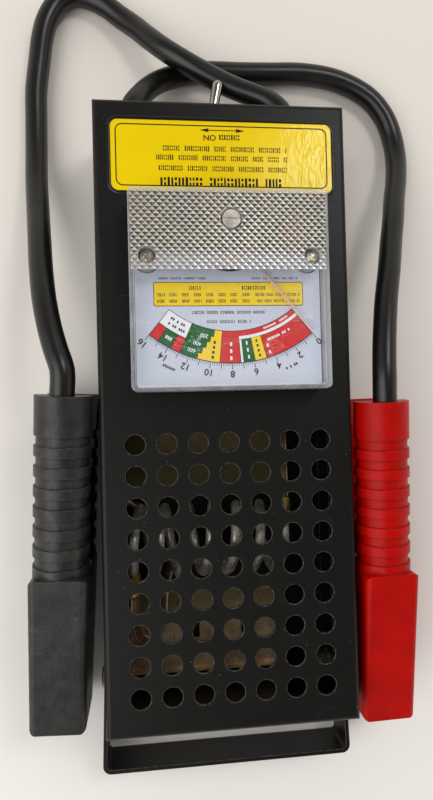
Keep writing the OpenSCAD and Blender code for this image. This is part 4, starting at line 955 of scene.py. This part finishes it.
# The yellow table: its box, the start of its eight short columns and of the long one, by row
TABLE = (-32.4, 47.7, 34, 58.3)
TABLE_ROWS = [(49.9, 13.2), (52.7, 12.4)]
TABLE_LEFT, TABLE_COLUMN, TABLE_WORD, TABLE_RIGHT = -30.8, 5.35, 3.4, 32.6
# Lines of print, as word_blocks takes them
TABLE_TITLES = [
    (-16.9, -11, 55.7, 1.8, 31, 0.3, 0.5, 0.42), (6.5, 16.9, 55.7, 1.8, 32, 0.3, 0.5, 0.42),
]
CAPTIONS = [
    (-30, -9.2, 59.9, 1, 33, 0.9, 0.26, 0.22), (11, 31.6, 59.9, 1, 34, 0.9, 0.26, 0.22),
    (-15.8, 16.6, 44.9, 1.35, 35, 1, 0.34, 0.3), (-9.3, 10.4, 40.8, 1.35, 36, 1.2, 0.34, 0.34),
]


def dial_print():
    """The print of the dial in three flat layers, one just above the other."""
    fields = [([sector(*field)], tone) for *field, tone in FIELDS]
    fields.append(([round_rect(*TABLE, 1)], BLACK))
    lines = [([loop], BLACK) for loop in scale_lines()]
    lines += [(blocks_on_arc(*row), BLACK) for row in WORDS_OUTSIDE]
    lines.append(([round_rect(*grown(TABLE, -0.3), 0.8)], YELLOW))
    lines += [(word_blocks(*row), BLACK) for row in CAPTIONS]
    words = [(blocks_on_arc(*row), WHITE) for row in WORDS_IN_WHITE]
    words += [(blocks_on_arc(*row), BLACK) for row in WORDS_IN_BLACK]
    for radii, v0, v1, half, tone in STACKS:
        words += [([sector(radius - half, radius + half, v0, v1)], tone) for radius in radii]
    pick = random.Random(21)
    for y, long_column in TABLE_ROWS:
        for column in range(8):
            x = TABLE_LEFT + column * TABLE_COLUMN
            row = (x, x + TABLE_WORD, y, 1.5, pick.random(), 0.3, 0.3, 0.26)
            words.append((word_blocks(*row), BLACK))
        row = (long_column, TABLE_RIGHT, y, 1.4, pick.random(), 0.8, 0.28, 0.26)
        words.append((word_blocks(*row), BLACK))
    words += [(word_blocks(*row), BLACK) for row in TABLE_TITLES]
    for level, groups in enumerate((fields, lines, words)):
        loops = [loop for group, _ in groups for loop in group]
        tones = [tone for group, tone in groups for _ in group]
        made = flat_faces(f"dial_print_{level + 1}", loops, DIAL_Z + LAYER * level, tones, INKS)
        settle(made)


def text_mesh(name, words, size, look, height, weight=0.06):
    """Flat figures as one mesh; words holds text, x, y and turn in degrees."""
    bm = bmesh.new()
    for body, x, y, turn in words:
        data = bpy.data.curves.new(name, "FONT")
        data.body = body
        data.size = size * MM
        data.align_x = "CENTER"
        data.align_y = "CENTER"
        data.resolution_u = 4
        data.offset = weight * MM
        temp = link(name + "_text", data)
        bpy.context.view_layer.update()
        shape = temp.evaluated_get(bpy.context.evaluated_depsgraph_get())
        mesh = bpy.data.meshes.new_from_object(shape)
        mesh.transform(
            Matrix.Translation((x * MM, y * MM, height * MM))
            @ Matrix.Rotation(math.radians(turn), 4, "Z")
        )
        bm.from_mesh(mesh)
        bpy.data.objects.remove(temp)
        bpy.data.meshes.remove(mesh)
        bpy.data.curves.remove(data)
    settle(build(name, bm, look))


# Figures on the dial: text, radius, reading
VOLT_FIGURES = [(str(volts), 61.7, volts) for volts in range(0, FULL_SCALE + 1, 2)]
LOAD_FIGURES = [("200", 46.4, 11.1), ("400", 50.4, 11.6), ("600", 54, 11.95)]


def dial_figures():
    height = DIAL_Z + 2 * LAYER
    for name, figures, size, look, weight in (
        ("dial_figures", VOLT_FIGURES, 4.1, INKS[BLACK], 0.06),
        ("load_figures", LOAD_FIGURES, 2.4, INKS[WHITE], 0.03),
    ):
        words = [(text, *at(r, volts), 180 + turned(volts)) for text, r, volts in figures]
        text_mesh(name, words, size, look, height, weight)


dial_print()
dial_figures()

# Label print

LABEL_Z = 49.93
LABEL_FRAME, FRAME_CORNER, FRAME_LINE = (-47.8, 102.9, 49, 130.9), 3.2, 0.52
# The arrow with two heads: its middle line, its tips, the shape of a head and of the shaft
ARROW_Y, ARROW_TIPS = 128.7, (-9.9, 10.8)
HEAD_LENGTH, HEAD_NOTCH, HEAD_HALF = 4.3, 3.7, 0.95
SHAFT_FROM_TIP, SHAFT_HALF = 3.5, 0.2
# Lines of print, as word_blocks takes them
LABEL_ROWS = [
    (-1, 8.3, 125.6, 2.6, 50, 1.9, 0.62, 0.46, (9, 9)),
    (-26.5, 30.7, 120.2, 2.5, 51, 2, 0.5, 0.44, (5, 12)),
    (-29.6, 30.6, 116, 2.5, 52, 2, 0.5, 0.44, (5, 12)),
    (-28.6, 30, 111.2, 2.5, 53, 2, 0.5, 0.44, (8, 14)),
    (-28, 28.3, 105.2, 3.9, 54, 2.9, 1, 0.66, (11, 14)),
]


def label_print():
    outer = round_rect(*LABEL_FRAME, FRAME_CORNER)
    inner = round_rect(*grown(LABEL_FRAME, -FRAME_LINE), FRAME_CORNER - FRAME_LINE)
    loops = []
    for i in range(len(outer)):
        n = (i + 1) % len(outer)
        loops.append([outer[i], outer[n], inner[n], inner[i]])
    for tip, way in zip(ARROW_TIPS, (1, -1)):
        back, notch = tip + way * HEAD_LENGTH, tip + way * HEAD_NOTCH
        loops.append([
            (tip, ARROW_Y), (back, ARROW_Y - way * HEAD_HALF), (notch, ARROW_Y),
            (back, ARROW_Y + way * HEAD_HALF),
        ])
    start, end = ARROW_TIPS[0] + SHAFT_FROM_TIP, ARROW_TIPS[1] - SHAFT_FROM_TIP
    loops.append(rect(start, ARROW_Y - SHAFT_HALF, end, ARROW_Y + SHAFT_HALF))
    for row in LABEL_ROWS:
        loops += word_blocks(*row)
    made = flat_faces("label_ink", loops, LABEL_Z, [0] * len(loops), [INKS[BLACK]])
    settle(made)
    words = [("ON", -5.4, 125.4, 180)]
    text_mesh("label_on", words, 3.7, INKS[BLACK], LABEL_Z + 0.02)


label_print()

# The stamping in which the plate lies: its box and corner, and how its edge rises outwards
RECESS, RECESS_CORNER = (-49.85, 100.85, 51.05, 132.75), 3.6
RECESS_EDGE = [(0.15, 49.92), (0.2, 50.1), (0.42, 50.26), (0.8, 50.32), (1.25, 50.24), (1.6, 50)]


def label_recess():
    """The rounded edge of the stamping in which the label lies."""
    bm = bmesh.new()
    rings = []
    for out, z in RECESS_EDGE:
        loop = round_rect(*grown(RECESS, out), RECESS_CORNER + out)
        rings.append([bm.verts.new((x * MM, y * MM, z * MM)) for x, y in loop])
    for inner, outer in zip(rings, rings[1:]):
        for k in range(len(inner)):
            n = (k + 1) % len(inner)
            bm.faces.new((inner[k], inner[n], outer[n], outer[k])).smooth = True
    settle(build("label_recess", bm, LOOKS["recess"]))


label_recess()

# Diamond-cut cover: half the pitch and the height of its points, three edges from the meter's
# centre and the Y of the fourth, the painted light and shade of each side of a point, and its holes
# with radii
DIAMOND_HALF, DIAMOND_RISE = 1.555, 0.55
WINDOW_LEFT, WINDOW_RIGHT, WINDOW_TOP = 42.2, 41.5, 41.3
WINDOW_LOW_Y = 61.8
FACET_LIGHT = (0.95, 0.8, 0.08, 0.2)
WINDOW_SHELL = 0.2
WINDOW_HOLES = [
    (METER[0] - SCREW_OUT, SCREW_Y, 3.75), (METER[0] + SCREW_OUT, SCREW_Y, 3.75),
    (*ADJUSTER, 4.75),
]


def diamond_window():
    """Rows of low pyramids on the upper part of the clear cover, cut clear of the screws."""
    half = DIAMOND_HALF
    x0, x1 = METER[0] - WINDOW_LEFT, METER[0] + WINDOW_RIGHT
    y0, y1 = WINDOW_LOW_Y, METER[1] + WINDOW_TOP
    bm = bmesh.new()
    facet_light = bm.faces.layers.float.new("facet_light")
    pick = random.Random(8)
    for i in range(-2, int((x1 - x0) / half) + 3):
        for j in range(-2, int((y1 - y0) / half) + 3):
            if (i + j) % 2:
                continue
            cx, cy = x0 + i * half, y0 + j * half
            top = bm.verts.new((cx, cy, COVER_TOP + DIAMOND_RISE))
            ring = [
                bm.verts.new((cx + dx * half, cy + dy * half, COVER_TOP))
                for dx, dy in ((1, 0), (0, 1), (-1, 0), (0, -1))
            ]
            for k in range(4):
                face = bm.faces.new((ring[k], ring[(k + 1) % 4], top))
                face[facet_light] = FACET_LIGHT[k] * pick.uniform(0.8, 1)
    bmesh.ops.remove_doubles(bm, verts=bm.verts, dist=0.01)
    for point, normal in (
        ((x0, 0, 0), (-1, 0, 0)), ((x1, 0, 0), (1, 0, 0)),
        ((0, y0, 0), (0, -1, 0)), ((0, y1, 0), (0, 1, 0)),
    ):
        bmesh.ops.bisect_plane(
            bm, geom=bm.verts[:] + bm.edges[:] + bm.faces[:], plane_co=point, plane_no=normal,
            clear_outer=True, dist=0.001,
        )
    bmesh.ops.scale(bm, vec=(MM, MM, MM), verts=bm.verts)
    made = build("diamond_window", bm, LOOKS["prism"])
    shell = made.modifiers.new("shell", "SOLIDIFY")
    shell.thickness = WINDOW_SHELL * MM
    shell.offset = -1
    cutters = []
    for x, y, r in WINDOW_HOLES:
        bpy.ops.mesh.primitive_cylinder_add(
            vertices=48, radius=r * MM, depth=6 * MM, location=(x * MM, y * MM, COVER_TOP * MM)
        )
        cutters.append(bpy.context.object)
        cut = made.modifiers.new("cut", "BOOLEAN")
        cut.operation = "DIFFERENCE"
        cut.solver = "EXACT"
        cut.object = cutters[-1]
    bpy.context.view_layer.update()
    shape = made.evaluated_get(bpy.context.evaluated_depsgraph_get())
    result = bpy.data.meshes.new_from_object(shape)
    made.modifiers.clear()
    made.data = result
    for cutter in cutters:
        bpy.data.objects.remove(cutter)
    settle(made)


diamond_window()

RIM_LOW, RIM_HIGH = COVER_TOP - 0.1, COVER_TOP + 0.6
RIM_SIDES = 56
# Each rim's place, inner radius and outer radius
RIMS = {
    "screw_rim_left": (METER[0] - SCREW_OUT, SCREW_Y, 3.62, 4.5),
    "screw_rim_right": (METER[0] + SCREW_OUT, SCREW_Y, 3.62, 4.5),
    "adjuster_rim": (*ADJUSTER, 4.62, 5.3),
}


def rim_ring(name, x, y, r_in, r_out):
    """A small moulded rim round a pocket in the cover."""
    bm = bmesh.new()
    profile = [
        (r_in, RIM_LOW), (r_in, RIM_HIGH - 0.12), (r_in + 0.12, RIM_HIGH),
        (r_out - 0.25, RIM_HIGH), (r_out, RIM_HIGH - 0.25), (r_out, RIM_LOW),
    ]
    rings = []
    for k in range(RIM_SIDES):
        a = 2 * math.pi * k / RIM_SIDES
        way = Vector((math.cos(a), math.sin(a), 0))
        rings.append([bm.verts.new((Vector((x, y, z)) + r * way) * MM) for r, z in profile])
    for k in range(RIM_SIDES):
        a, b = rings[k], rings[(k + 1) % RIM_SIDES]
        for i in range(len(profile)):
            n = (i + 1) % len(profile)
            bm.faces.new((a[i], b[i], b[n], a[n]))
    bmesh.ops.recalc_face_normals(bm, faces=bm.faces)
    settle(build(name, bm, LOOKS["clear"]))


for name, rim in RIMS.items():
    rim_ring(name, *rim)

# Finishes of the CAD nodes

FINISHES = {
    "case": ["front_cover", "back_cover", "handle"],
    "black_screw": ["cover_screws"],
    "label": ["label_plate"],
    "bronze": ["upper_shield"],
    "bronze_lighter": ["lower_shield"],
    "brass": [
        "wire_ferrules", "terminal_bolts", "toggle_terminals", "toggle_contact",
        "upper_bridge", "lower_bridge", "meter_terminals",
    ],
    "ceramic": ["ceramic_posts"],
    "copper": ["bus_bar", "lead_lugs"],
    "tinned": ["ring_terminals"],
    "rubber": ["lead_grommets"],
    "phenolic": ["toggle_body", "meter_body"],
    "chrome": ["toggle_bushing", "toggle_nut", "toggle_lever"],
    "clear": ["meter_cover"],
    "dial": ["dial_plate"],
    "magnet": ["magnet_yoke", "core_magnet"],
    "red_enamel": ["moving_coil"],
    "pointer": ["pointer"],
    "spring": ["hairspring"],
    "adjuster": ["zero_adjuster"],
    "zinc_lit": ["meter_screws", "handle_bolts"],
    "zinc": ["meter_studs", "handle_nuts"],
}
CLAMP_FINISHES = {"upper_jaw": "copper", "lower_jaw": "copper", "pin": "zinc", "lug": "copper"}
for key, names in FINISHES.items():
    for name in names:
        paint(nodes[name], LOOKS[key])
for colour in CLAMPS:
    for part in CLAMP_PARTS:
        key = CLAMP_FINISHES.get(part, f"{colour}_clamp")
        paint(nodes[f"{colour}_clamp_{part}"], LOOKS[key])

# Floor and light, whose places and sizes are in metres and powers in watts

BACKDROP = (231, 226, 219)
FLOOR_HALF, FLOOR_Z = 6, -0.0004
# The floor fades into the backdrop between these distances from the object
FADE_FROM, FADE_TO = 0.3, 1


def make_floor():
    mesh = bpy.data.meshes.new("floor")
    corners = rect(-FLOOR_HALF, -FLOOR_HALF, FLOOR_HALF, FLOOR_HALF)
    mesh.from_pydata([(x, y, FLOOR_Z) for x, y in corners], [], [(0, 1, 2, 3)])
    floor = link("floor", mesh)
    g = material("floor_paper")
    patches = g.span(g.noise(3, 4), 0.3, 0.7)
    # Painted light: the floor is lighter toward -Y and darker toward +Y.
    tone = g.mix(g.span(g.axis("Y"), -0.2, 0.2), (241, 237, 232), (229, 221, 212))
    tone = g.mix(g.times(patches, 0.15), tone, (212, 206, 200))
    paper = g.node("ShaderNodeBsdfPrincipled", Base_Color=tone, Roughness=0.6)
    glow = g.node("ShaderNodeEmission", Color=BACKDROP, Strength=1)
    distance = g.vector("LENGTH", g.place, output="Value")
    seen = g.node("ShaderNodeLightPath").outputs["Is Camera Ray"]
    share = g.times(g.span(distance, FADE_FROM, FADE_TO), seen)
    paint(floor, g.show(g.blend(share, paper.outputs[0], glow.outputs[0])))


def make_light(name, size, power, place, aim):
    data = bpy.data.lights.new(name, "AREA")
    data.shape = "RECTANGLE"
    data.size, data.size_y = size
    data.energy = power
    lamp = link(name, data)
    lamp.location = place
    lamp.rotation_euler = (Vector(aim) - Vector(place)).to_track_quat("-Z", "Y").to_euler()


def make_world():
    """A room that is dim overhead; the camera, metal and glass see a pale backdrop in it."""
    world = bpy.data.worlds.new("studio")
    g = Graph(world, "ShaderNodeOutputWorld", "Generated")
    up = g.axis("Z")
    strength = g.times(
        g.span(up, 0.15, 0.85, 1.3, 0.22), g.span(g.axis("Y"), -0.6, 0.6, 0.6, 1.45)
    )
    room = g.node("ShaderNodeBackground", Color=(255, 254, 251), Strength=strength)
    ceiling = g.span(up, 0.3, 0.75, 1, 0.22)
    pale = g.node("ShaderNodeBackground", Color=BACKDROP, Strength=ceiling)
    path = g.node("ShaderNodeLightPath")
    seen = path.outputs["Is Camera Ray"]
    for ray in ("Is Glossy Ray", "Is Transmission Ray"):
        seen = g.math("MAXIMUM", seen, path.outputs[ray])
    g.show(g.blend(seen, room.outputs[0], pale.outputs[0]))
    bpy.context.scene.world = world
    bpy.context.scene.view_settings.view_transform = "Standard"


make_floor()
# A large lamp from the left, and a smaller one past the lead end
make_light("key", (1.3, 1.1), 10.6, (-0.8, -0.3, 1), (0, 0, 0.02))
make_light("window", (0.36, 0.34), 3.6, (0.5, 0.58, 1.15), (0, 0.05, 0.02))
make_world()
